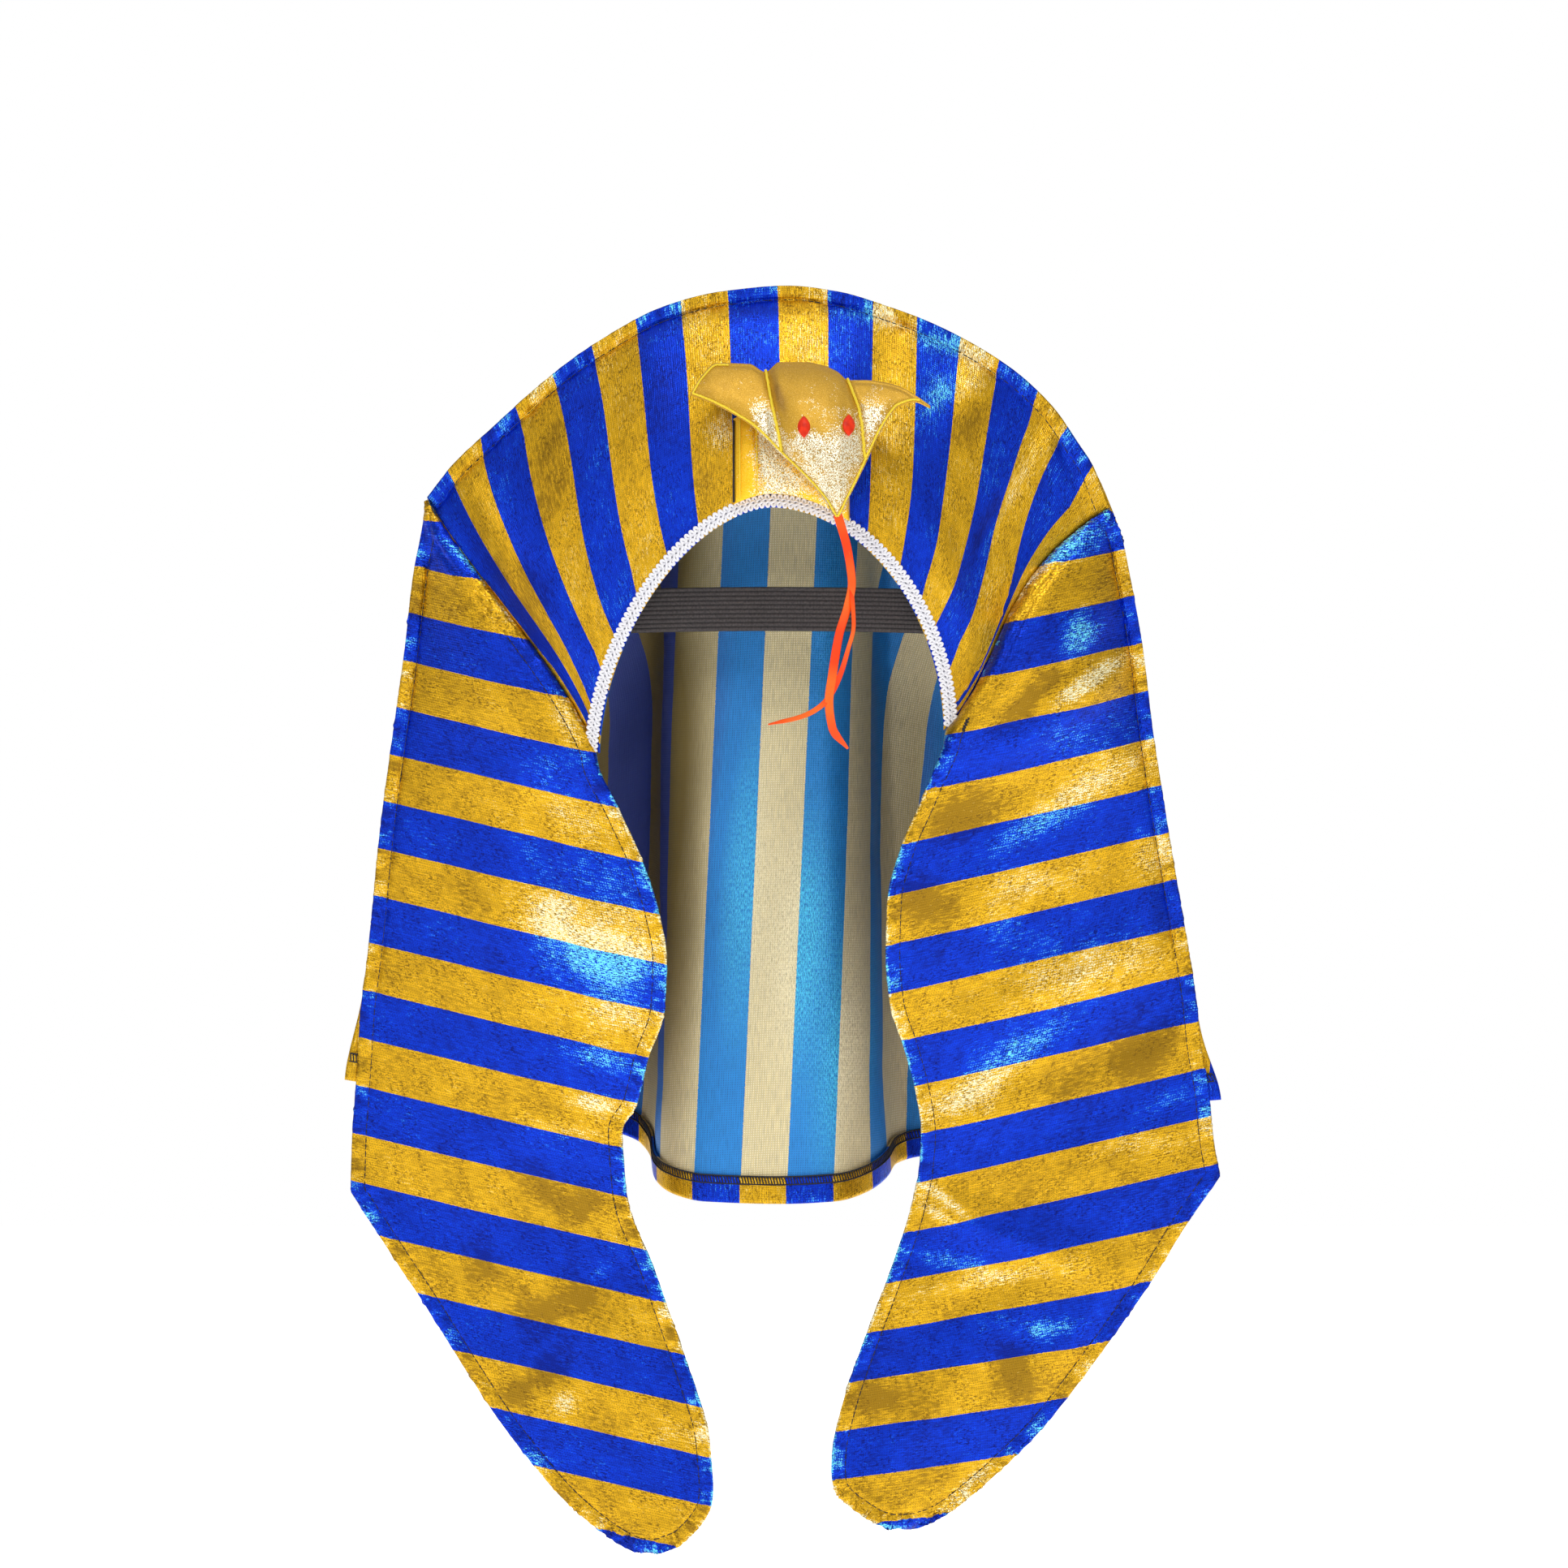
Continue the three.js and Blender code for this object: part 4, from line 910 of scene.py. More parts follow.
def striped_lame():
    """Metallic cloth in blue and gold stripes with painted highlights and shade: bright outside, duller
    where the inside mark is one.
    """
    n = material_nodes("striped_lame")
    stripe = n.mark("stripe")
    across = n.times(stripe, STRIPE)
    along = n.mark("along")
    inside = n.mark("inside")
    mark = n.mark("shine")
    wander = n.noise(n.join(n.times(along, 0.9), 3.0), 1.0, 1.0)
    ragged = n.total(stripe, (n.less(wander, 0.5), 0.03))
    is_gold = n.above(n.math("FRACT", n.times(ragged, 0.5)), 0.5)

    def drawn(wide, long, seed=0.0):
        return n.join(n.times(across, wide), n.times(along, long), seed)

    def pair(colours):
        return n.mix(is_gold, *colours)

    # Painted light: painted highlights where the shine is high, painted shade where it is below nought, with
    # soft uneven patches all over
    place = n.join(across, along)
    patch = n.step(n.noise(place, 0.05, 3.0, 0.55), 0.34, 0.68, -0.26, 0.38)
    broken = n.step(n.noise(drawn(0.9, 0.22, 47.0), 1.0, 3.0, 0.65), 0.36, 0.66, -0.38, 0.55)
    shine = n.plus(mark, n.plus(patch, broken))
    lit = n.step(shine, 0.0, 1.5)
    dark = n.step(shine, 0.0, -0.8)

    # Weave: binding points on a slanted net, long film yarns and short flecks along them
    twill = n.times(n.plus(across, along), math.pi / WEAVE)
    weft = n.times(n.less(across, along), math.pi / WEAVE)
    dots = n.times(n.math("SINE", twill), n.math("SINE", weft))
    pin = n.step(dots, 0.4, 0.8)
    yarn = n.noise(drawn(2.4, 0.14), 1.0, 3.0, 0.6)
    dash_place = drawn(2.5, 0.6, 7.0)
    dash = n.noise(dash_place, 1.0, 2.0, 0.65)
    cluster = n.step(n.noise(place, 0.12, 2.0, 0.5), 0.36, 0.56, 0.35, 1.0)
    fleck = n.times(n.step(n.noise(drawn(1.4, 0.6, 31.0), 1.0, 3.0, 0.7), 0.5, 0.57), cluster)

    # Painted highlights: sparse dashes all over, and dense dashes and beads between the binding points where
    # the shine is high
    rim = n.step(lit, 0.0, 1.0, 0.68, 0.45)
    glint_dashes = n.step(n.less(dash, rim), 0.0, 0.07)
    glint_beads = n.times(n.times(n.step(dots, 0.35, 0.6), n.step(lit, 0.18, 0.4)), 0.85)
    open_glints = n.times(n.most(glint_dashes, glint_beads), n.less(1.0, inside))
    glint_share = n.times(open_glints, n.less(1.0, n.times(fleck, 0.8)))

    # Darkening by flecks, binding points, streaks along the yarns and slow changes of tone, plus painted
    # shade where the shine is below nought and darker flecks inside the painted highlights
    texture_and_shade = n.most(
        n.times(fleck, n.total(0.9, (dark, 0.1))),
        n.times(pin, n.step(dark, 0.0, 1.0, 0.75, 0.95)),
        n.step(yarn, 0.42, 0.66, 0.0, 0.6),
        n.step(shine, 0.15, -0.8, 0.0, 0.8),
        n.step(n.noise(drawn(0.16, 0.06, 13.0), 1.0, 3.0, 0.6), 0.42, 0.7, 0.0, 0.5),
        n.times(n.times(lit, 0.9), fleck),
    )

    ground = n.mix(texture_and_shade, pair(GROUND), pair(FLECKS_AND_SHADE))
    glint = n.mix(n.step(lit, 0.3, 0.85), pair(PAINTED_GLINT), pair(PAINTED_GLARE))
    wrong = n.mix(n.times(pin, 0.8), pair(WRONG), pair(WRONG_PINS))
    wrong = n.mix(n.step(yarn, 0.4, 0.7, 0.0, 0.5), wrong, GREY_YARN, "MULTIPLY")
    # Wrong side: painted shade where the shine mark is below nought, painted gleam where it is high
    wrong = n.mix(n.step(mark, -0.1, -1.0, 0.0, 0.9), wrong, pair(WRONG_SHADE))
    gleam = n.times(n.step(mark, 0.1, 1.2), n.step(dash, 0.4, 0.62))
    wrong = n.mix(gleam, wrong, pair(WRONG_GLEAM))
    turned = n.sparkle(n.cells(dash_place, 1.6), n.step(lit, 0.0, 0.7, 0.1, 0.4))
    height = n.plus(n.times(dots, -0.5), n.times(yarn, 1.3))
    unglinted = n.less(1.0, glint_share)
    return n.surface(
        Base_Color=n.mix(inside, n.mix(glint_share, ground, glint), wrong),
        Metallic=n.total(0.4, (unglinted, 0.4), (inside, -0.5)),
        Roughness=n.total(0.24, (unglinted, 0.16), (inside, 0.1)),
        Normal=n.bump(height, 0.4, 0.2, turned),
    )


GLITTER_CELLS = 3.3
# Speck, brown and pale colours show only where the shine mark is high: painted glitter highlights
PAINTED_GLITTER_SPECK = (1.0, 0.78, 0.30, 1)
PAINTED_GLITTER_BROWN = (0.40, 0.23, 0.025, 1)
PAINTED_GLITTER_PALE = (1.0, 0.97, 0.78, 1)


def gold_glitter(name, satin, deep):
    """Gold cloth: fine satin where the shine mark is nought, coarse glitter with painted glints where it is
    one, painted shade below nought.
    """
    n = material_nodes(name)
    place = n.place()
    shine = n.plus(n.mark("shine"), n.step(n.noise(place, 0.16, 3.0), 0.3, 0.7, -0.2, 0.2))
    lit = n.step(shine, 0.12, 1.0)
    dark = n.step(shine, -0.1, -0.9)
    grain = n.cells(place, GLITTER_CELLS)
    flake = n.add("SeparateColor", (grain.outputs["Color"],)).outputs["Blue"]
    fine = n.noise(place, 2.6, 2.0)
    grain_and_shade = n.most(n.step(fine, 0.5, 0.34, 0.0, 0.5), n.times(dark, 0.85))
    glint_speck = n.times(n.step(fine, 0.56, 0.64, 0.0, 0.6), n.step(lit, 0.0, 0.5, 0.35, 1.0))
    body = n.mix(glint_speck, n.mix(grain_and_shade, satin, deep), PAINTED_GLITTER_SPECK)
    glint_brown = n.above(n.step(lit, 0.0, 1.0, -0.02, 0.34), flake)
    glint_pale = n.above(flake, n.step(lit, 0.0, 1.0, 1.0, 0.45))
    turned = n.sparkle(grain, n.step(lit, 0.0, 1.0, 0.12, 0.5))
    return n.surface(
        Base_Color=n.mix(glint_pale, n.mix(glint_brown, body, PAINTED_GLITTER_BROWN), PAINTED_GLITTER_PALE),
        Metallic=0.55,
        Roughness=n.step(lit, 0.0, 1.0, 0.45, 0.28),
        Normal=n.bump(fine, 0.5, 0.25, turned),
    )


def thread_material(name, colour, metallic=0.0, rough=0.55, pitch=1.6):
    n = material_nodes(name)
    wave = n.add("TexWave", {"Vector": n.place(), "Scale": pitch, "Distortion": 1.5})
    strands = wave.outputs["Fac"]
    dark = tuple(c * 0.55 for c in colour[:3]) + (1,)
    return n.surface(
        Base_Color=n.mix(n.times(strands, 0.5), colour, dark),
        Metallic=metallic,
        Roughness=rough,
        Normal=n.bump(strands, 0.4, 0.12),
    )


KNIT_PITCH = 0.7
KNIT_DARK = (0.032, 0.026, 0.027, 1)
KNIT_PALE = (0.075, 0.062, 0.06, 1)
KNIT_GROOVE_SHADE = (0.006, 0.005, 0.005, 1)


def elastic_knit():
    n = material_nodes("elastic_knit")
    knit = n.math("SINE", n.times(n.mark("along"), math.pi / KNIT_PITCH))
    fine = n.noise(n.place(), 1.2, 3.0)
    body = n.mix(n.step(fine, 0.3, 0.75), KNIT_DARK, KNIT_PALE)
    return n.surface(
        # Near black in the grooves between the ribs: painted shade
        Base_Color=n.mix(n.mark("rib"), KNIT_GROOVE_SHADE, body),
        Roughness=0.8,
        Normal=n.bump(n.plus(n.times(knit, 0.4), fine), 0.5, 0.15),
    )


EYE_BRIGHT = (0.80, 0.035, 0.004, 1)
EYE_DEEP = (0.55, 0.015, 0.002, 1)


def eye_gloss():
    n = material_nodes("eye_gloss")
    place = n.place()
    return n.surface(
        Base_Color=n.mix(n.step(n.noise(place, 0.35, 2.0), 0.35, 0.7), EYE_BRIGHT, EYE_DEEP),
        Roughness=0.5,
        Specular_IOR_Level=0.2,
        Coat_Weight=0.04,
        Coat_Roughness=0.2,
        Normal=n.bump(n.noise(place, 1.4, 2.0), 0.15, 0.1),
    )


SATIN_RED = (1.0, 0.05, 0.0, 1)
PAINTED_SATIN_SHEEN = (1.0, 0.16, 0.012, 1)
SATIN_THREAD = (0.85, 0.03, 0.0, 1)


def satin_ribbon():
    n = material_nodes("satin_ribbon")
    along = n.mark("along")
    weave = n.noise(n.join(n.times(n.mark("rib"), 9.0), n.times(along, 2.0)), 1.0, 2.0)
    sheen = n.noise(n.join(n.times(along, 0.045), 4.0), 1.0, 1.0)
    # Lighter orange in slow patches along the ribbon: painted sheen
    body = n.mix(n.step(sheen, 0.4, 0.62), SATIN_RED, PAINTED_SATIN_SHEEN)
    return n.surface(
        Base_Color=n.mix(n.step(weave, 0.35, 0.7, 0.0, 0.5), body, SATIN_THREAD),
        Roughness=0.45,
        Specular_IOR_Level=0.25,
        Normal=n.bump(weave, 0.25, 0.1),
    )


LAME = striped_lame()
HEAD_GLITTER = gold_glitter("head_glitter", (0.58, 0.32, 0.018, 1), (0.30, 0.15, 0.02, 1))
NECK_GLITTER = gold_glitter("neck_glitter", (1.0, 0.56, 0.005, 1), (0.55, 0.27, 0.01, 1))
WHITE_GIMP = thread_material("white_gimp", (0.93, 0.92, 0.96, 1), 0.05, 0.5)
SILVER_CORE = thread_material("silver_core", (0.80, 0.79, 0.85, 1), 0.3, 0.38)
GIMP_SHADE = thread_material("gimp_shade", (0.34, 0.33, 0.39, 1), 0.2, 0.5)
YELLOW_THREAD = thread_material("yellow_thread", (1.0, 0.75, 0.03, 1), 0.0, 0.5, 2.2)
DARK_THREAD = thread_material("dark_thread", (0.012, 0.012, 0.018, 1), 0.0, 0.7)
ELASTIC = elastic_knit()
EYE_RED = eye_gloss()
ORANGE_SATIN = satin_ribbon()


# Crown
def crown_stripes(x, z):
    """Stripe coordinate of the crown at places of the front view: blue from every even number on."""
    ribs = []
    for row in RIB_ROWS:
        top_x, top_z = arch_point(row["at"])
        low_x, low_z = brow_point(row["brow"])
        share = (top_z - z) / (top_z - low_z)
        bow = two_bows(np.clip(share, 0, 1), row["high"], row["low"])
        ribs.append(lerp(top_x, low_x, share) + bow)
    ribs = np.maximum.accumulate(np.stack(ribs), axis=0)
    stripe = np.zeros(x.shape)
    for i in range(len(ribs) - 1):
        share = np.clip((x - ribs[i]) / np.maximum(ribs[i + 1] - ribs[i], 0.5), 0, 1)
        stripe += 2 * share
    below = np.minimum(0, x - ribs[0]) / STRIPE
    above = np.maximum(0, x - ribs[-1]) / STRIPE
    return stripe + below + above


def row_arcs(points):
    """Arc length down each column of a grid, from its first row."""
    steps = np.linalg.norm(np.diff(points, axis=0), axis=2)
    return np.concatenate([np.zeros((1, points.shape[1])), np.cumsum(steps, axis=0)])


def seam_groove(distance, ridge_at, ridge_width, ridge, groove_width, groove):
    """Rise of the padded edge beside a row of stitches, and the groove along them."""
    edge = ridge * bell((distance - SEAM_WIDTH * ridge_at) / ridge_width)
    return edge - groove * bell((distance - SEAM_WIDTH) / groove_width)


def crown_front():
    u, v = np.meshgrid(np.linspace(0, 1, 300), np.linspace(0, 1, 116) ** 1.05)
    points = crown_surface(u, v)
    tuck = smooth(0, 0.012, u) - smooth(0, 0.012, 1 - u)
    points[..., 0] += SEAM_TUCK * tuck * smooth(0.02, 0.08, v) * (1 - smooth(0.96, 1, v))
    normals = grid_normals(points)
    x, z = points[..., 0], points[..., 2]
    outline = points[0]
    distance = edge_distance(points, outline)[0]
    along_edge = arc_along(outline)[None, :] + 0 * u
    relief = (creases("crown", x, z) + crumple(40, x, z, 26, 0.35)) * smooth(0, 14, distance)
    relief += puckers(3, along_edge, distance, 0.8) + seam_groove(distance, 0.45, 2.2, 0.7, 0.9, 0.75)
    points = points + normals * relief[..., None]
    normals = grid_normals(points)
    stripe = crown_stripes(x, z)
    down = row_arcs(points)
    # The crown's shine mark: painted highlights and painted shade, with painted blobs along the top seam
    item, near = cloth_wall(
        "crown_cloth", points, normals, np.full(u.shape, CLOTH / 2),
        stripe=(stripe, stripe),
        along=(down, down),
        inside=(0 * u, smooth(0, 0.015, np.minimum(u, 1 - u))),
        shine=(glints("crown", x, z) + seam_shine(5, along_edge, distance), 0 * u),
    )
    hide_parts("crown_front")
    thread = sew("crown_topstitch", inset_path(outline, SEAM_WIDTH), near, normals)
    return near, normals


# Lappets
def lappet_stripes(name, x, z):
    """Stripe and thread coordinates of a lappet at places of the front view."""
    rule = LAPPET_STRIPES[name]
    turn = smooth(-360, -500, z)
    slope = lerp(rule.slope, rule.low_slope, turn)
    stripe = (rule.z - z + slope * (x - rule.x)) / rule.pitch
    return stripe, x - slope * z


def lappet(name):
    side = SIDES[name]
    rows = np.concatenate([np.linspace(0.004, 0.95, 300), np.linspace(0.9525, 1, 34)])
    columns = np.sin(np.linspace(-1, 1, 92) * math.pi / 2 * 0.8) / math.sin(math.pi / 2 * 0.8) * 0.5 + 0.5
    across, level = np.meshgrid(columns, rows)
    points = lappet_surface(name, across, level)
    normals = grid_normals(points) * (-side.sign)
    x, z = points[..., 0], points[..., 2]
    outline = np.concatenate([points[:, 0], points[-1, 1:-1], points[::-1, -1]])
    outline = even_path(outline, 1.5)
    distance, nearest = edge_distance(points, outline)
    seed = side.seed
    relief = (creases("lappet_" + name, x, z) + crumple(seed, x, z, 30, 0.45)) * smooth(3, 16, distance)
    relief += puckers(seed + 9, nearest, distance, 0.7) * smooth(0, 1.5, distance)
    points = points + normals * relief[..., None]
    normals = grid_normals(points) * (-side.sign)
    edge = np.sqrt(1 - (1 - np.clip(distance / LAPPET_WALL, 0, 1)) ** 2)
    half = lerp(LAPPET_RIM, LAPPET_WALL / 2, edge) + seam_groove(distance, 0.5, 2, 0.25, 1, 0.62)
    stripe, thread_place = lappet_stripes(name, x, z)
    # Painted light of the lappet: an even painted shade from its side, a painted highlight line along the
    # inner edge and painted blobs along the seams
    inner = across > 0.5
    folded = (z > brow_point(side.sign)[1]) & inner
    edge_shine = side.tone + RIM_SHINE * inner * (1 - smooth(0.5, 1.5, distance)) * (1 - folded)
    edge_shine += seam_shine(seed + 5, nearest, distance, np.where(folded, FOLD_SHINE, SEAM_WIDTH))
    item, near = cloth_wall(
        f"lappet_{name}_cloth", points, normals, half,
        stripe=(stripe, stripe),
        along=(thread_place, thread_place),
        inside=(0 * x, 0 * x),
        shine=(GLINT_GAIN * glints("lappet_" + name, x, z) + edge_shine, edge_shine),
    )
    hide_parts("lappet_" + name)
    path = inset_path(outline, SEAM_WIDTH)
    foot = np.argmin(path[:, 1])
    path = path[(np.arange(len(path)) < foot) | (path[:, 1] < side.stitch_top)]
    far = points - normals * half[..., None]
    threads = [
        sew(f"lappet_{name}_topstitch", path, near, normals),
        sew(f"lappet_{name}_backstitch", path, far, -normals),
    ]
    if name == "right":
        threads.append(bar_tack(near, normals))
    return near, normals


def bar_tack(points, normals):
    """A few dark stitches close together that hold the end of the elastic."""
    share = np.linspace(0, 1, 60)
    x = TACK_X + TACK_LEAN * share + 0.5 * np.sin(share * math.pi * 9)
    path = np.stack([x, TACK_TOP - TACK_HEIGHT * share], 1)
    return sew("bar_tack", path, points, normals, pitch=0.5, length=1.3, width=0.6, lift=0.2)


# Back panel with its hem turned up on the inside
def back_panel():
    u_values = np.linspace(0, 1, 250)
    v_values = np.concatenate([np.linspace(0, 0.97, 150), np.linspace(0.974, 1, 9)])
    u, v = np.meshgrid(u_values, v_values)
    points = back_surface(u, v)
    normals = grid_normals(points)
    x, z = points[..., 0], points[..., 2]
    calm = smooth(0, 0.08, v) * smooth(0, 0.06, u) * smooth(0, 0.06, 1 - u)
    relief = (creases("back", x, z) + crumple(20, x, z, 34, 0.5)) * calm
    points = points + normals * relief[..., None]
    arcs = row_arcs(points.swapaxes(0, 1)).T
    centre_x = -1.75 + (z + 363.65) * 0.07
    centre = np.array([np.interp(c[0], row, arc) for c, row, arc in zip(centre_x, x, arcs)])
    stripe = (arcs - centre[:, None]) / STRIPE
    down = row_arcs(points)
    total = down[-1][None, :]
    fold = np.linspace(0, 1, 9)[1:]
    layers = [points]
    stripes = [stripe]
    downs = [down]
    normals = grid_normals(points)
    gap = CLOTH * 1.25
    for share in np.concatenate([fold * 0.12, 0.12 + fold * 0.88]):
        rise = HEM_FOLD * share
        lift = gap * math.sqrt(1 - (1 - min(1, share / 0.12)) ** 2) if share < 0.12 else gap
        base = np.stack([
            np.stack([np.interp(total[0, i] - rise, down[:, i], points[:, i, k]) for k in range(3)])
            for i in range(len(u_values))
        ])
        near = np.stack([
            np.interp(total[0, i] - rise, down[:, i], np.arange(len(v_values))) for i in range(len(u_values))
        ]).astype(int)
        layers.append((base + normals[near, np.arange(len(u_values))] * lift)[None])
        stripes.append(stripe[-1:])
        downs.append(total + rise)
    grid = np.concatenate(layers)
    stripe = np.concatenate(stripes)
    along = np.concatenate(downs)
    normals = grid_normals(grid)
    half = np.full(grid.shape[:2], CLOTH / 2 * 0.85)
    # Painted highlights and painted shade of the back panel, seen mostly on its inner side
    shine = glints("back", grid[..., 0], grid[..., 2])
    facing = 1 - smooth(BACK_REACH - 6, BACK_REACH, np.abs(grid[..., 0] - CROWN_SHIFT))
    item, _ = cloth_wall(
        "back_cloth", grid, normals, half,
        stripe=(stripe, stripe), along=(along, along), inside=(facing, 0 * stripe), shine=(shine, 0 * shine),
    )
    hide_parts("back_panel")
    turned_edge = grid[-1] - normals[-1] * half[-1][:, None]
    threads = overlock(turned_edge, -normals[-1], grid[-6] - grid[-1])


def overlock(edge, normals, down):
    """Dark overlock stitching over the raw edge of the hem: slanted dashes between two rows."""
    arc = arc_along(edge)
    places = np.arange(0.6, arc[-1], 1.25)
    point = interp_points(places, arc, edge)
    normal = unit(interp_points(places, arc, normals))
    drop = unit(interp_points(places, arc, down))
    tangent = unit(np.gradient(point, axis=0))
    width = 3.6
    lift = 0.12
    slant = unit(drop + tangent * 0.25)
    middle = point + slant * width * 0.5 + normal * lift
    size = (width, 0.55, 0.35)
    first = stitch_mesh("hem_overlock", middle, normal, slant, size, DARK_THREAD, "striped_lame")
    rows = []
    for share in (0.02, 0.98):
        row = point + drop * width * share + normal * (lift + 0.15)
        rows.append(tube_mesh(row, 0.32, 5))
    points, faces = join_shapes(rows)
    second = new_object("hem_overlock_rows", points, faces, DARK_THREAD, "striped_lame")
    second.parent = first
    return first


# Braid
def braid_frame(u):
    """Edge point, directions along the edge and up the crown, and front normal at places of the braid."""
    edge = crown_surface(u, np.ones_like(u))
    before = crown_surface(u - 0.004, np.ones_like(u))
    tangent = unit(crown_surface(u + 0.004, np.ones_like(u)) - before)
    rib = unit(crown_surface(u, np.full_like(u, 0.9)) - edge)
    normal = unit(np.cross(tangent, rib))
    normal = np.where(normal[:, 1:2] > 0, -normal, normal)
    inward = unit(np.cross(normal, tangent))
    inward = np.where(np.sum(inward * rib, axis=1, keepdims=True) < 0, -inward, inward)
    return edge, tangent, inward, normal


def braid_places(pitch):
    u = np.linspace(BRAID_START, 1 - BRAID_START, 1200)
    arc = arc_along(crown_surface(u, np.ones_like(u)))
    count = int(arc[-1] / pitch)
    return np.interp((np.arange(count) + 0.5) * arc[-1] / count, arc, u)


def brow_braid():
    seat = CLOTH / 2 + CLEARANCE
    u = braid_places(PICOT_PITCH / PICOT_STEPS)
    edge, tangent, inward, normal = braid_frame(u)
    phase = np.arange(len(u)) * 2 * math.pi / PICOT_STEPS
    loops = []
    for outer, inner in (PICOT_LOW, PICOT_HIGH):
        lobe = 0.5 + 0.5 * np.sign(np.cos(phase)) * np.abs(np.cos(phase)) ** 0.55
        offset = lerp(inner, outer, lobe)[:, None]
        row = edge + inward * offset + normal * (seat + 0.75 + 0.3 * lobe[:, None])
        loops.append(tube_mesh(row, CORD_RADIUS, 8))
    for side, beat in ((-1, 0.0), (1, math.pi)):
        offset = (BRAID_MIDDLE + side * 0.62 + 0.3 * np.sin(phase + beat))[:, None]
        row = edge + inward * offset + normal * (seat + 1.0 + 0.25 * np.cos(phase + beat)[:, None])
        loops.append(tube_mesh(row, MIDDLE_CORD, 8))
    points, faces = join_shapes(loops)
    item = new_object("braid_loops", points, faces, WHITE_GIMP, "gimp_braid")
    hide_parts("brow_braid")
    shift = (BRAID_MIDDLE + np.sin(phase * 0.5) * 0.75)[:, None]
    row = edge + inward * shift + normal * (seat + 1.35)
    new_object("braid_core", *tube_mesh(row, ZIGZAG_RADIUS), SILVER_CORE, "gimp_braid")
    # Grey tape under the loops: painted shade seen in the gaps between them
    tape = np.linspace(BRAID_START, 1 - BRAID_START, 260)
    edge, tangent, inward, normal = braid_frame(tape)
    grid = np.stack([edge + inward * band + normal * (seat + 0.4) for band in BRAID_TAPE])
    lift = np.stack([normal] * len(BRAID_TAPE)) * 0.3
    two_sided("braid_tape", grid + lift, grid - lift, GIMP_SHADE, "gimp_braid")


# Depth of the crown at a place of the front view
def crown_depth(x, z):
    x = np.asarray(x, float)
    u = np.full(x.shape, 0.5)
    v = np.full(x.shape, 0.5)
    for _ in range(40):
        place = crown_surface(u, v)
        u = np.clip(u + (x - place[..., 0]) / CROWN_WIDTH * 0.9, 0, 1)
        v = np.clip(v + (place[..., 2] - z) / FOREHEAD * 0.7, 0, 1)
    return crown_surface(u, v)[..., 1]


def elastic_band():
    u, v = np.meshgrid(np.linspace(0, 1, 160), np.linspace(0, 1, ELASTIC_RIBS * 9 + 1))
    middle_z = APEX_Z - ELASTIC_DROP
    x = BROW_SHIFT + (u - 0.5) * ELASTIC_SPAN
    z = middle_z + ELASTIC_WIDTH * (0.5 - v) + 1.5 * (1 - (2 * u - 1) ** 2)
    behind = CLOTH + CLEARANCE * 3
    ends = [crown_depth(BROW_SHIFT + s * ELASTIC_SPAN / 2 + 0 * z, z) + behind for s in (-1, 1)]
    own = lerp(ends[0], ends[1], u) + ELASTIC_BOW * np.sin(u * math.pi)
    y = np.where(np.abs(2 * u - 1) > 0.8, np.maximum(own, crown_depth(x, z) + behind), own)
    rib = np.abs(np.sin(v * math.pi * ELASTIC_RIBS)) ** 0.5
    front = stack(x, y + 0.45 * (1 - rib), z)
    back = stack(x, y + ELASTIC_WALL - 0.45 * (1 - rib), z)
    item = two_sided("elastic_knit", front, back, ELASTIC, "elastic", along=(x, x), rib=(rib, rib))
    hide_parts("elastic_band")


# Cobra
cobra_top = table_curve(COBRA_ROWS, "at", "top")
cobra_bottom = table_curve(COBRA_ROWS, "at", "bottom")
cobra_pad = table_curve(COBRA_ROWS, "at", "pad")
COBRA_TOP_Z = APEX_Z - COBRA_DROP
COBRA_SEAT_Y = float(crown_surface(np.array(0.53), np.array(0.36))[1])


def cobra_middle(at, fall):
    lean = 1 - (1 - fall) ** 2
    return stack(COBRA_X + at * COBRA_WIDTH, COBRA_SEAT_Y - COBRA_STAND - COBRA_LEAN * lean,
                 COBRA_TOP_Z - fall * COBRA_HEIGHT)


def cobra_thickness(at, across):
    wing = np.minimum(1, cobra_pad(at))
    head = np.maximum(0, cobra_pad(at) - 1) / 1.7
    widest = WING_PAD * wing + (HEAD_PAD - WING_PAD) * head
    return 0.8 + (widest - 0.8) * np.maximum(0, 4 * across * (1 - across)) ** 0.5


def cobra_sheet(at, across, side):
    fall = lerp(cobra_top(at), cobra_bottom(at), across)
    place = cobra_middle(at, fall)
    place[..., 1] += side * cobra_thickness(at, across) * (0.62 if side < 0 else 0.38)
    return place


def polyline_distance(x, z, line):
    """Distance in the front view to a line through places, and the share of the way along it."""
    best = np.full(x.shape, np.inf)
    for start, end in zip(line, line[1:]):
        step = end - start
        share = np.clip(((x - start[0]) * step[0] + (z - start[1]) * step[1]) / (step @ step), 0, 1)
        gap = np.hypot(x - start[0] - share * step[0], z - start[1] - share * step[1])
        best = np.minimum(best, gap)
    return best


def cobra_lines():
    lines = []
    for rows in HEAD_SEAMS:
        lines.append(np.array([
            (COBRA_X + row["at"] * COBRA_WIDTH, COBRA_TOP_Z - row["fall"] * COBRA_HEIGHT) for row in rows
        ]))
    return lines


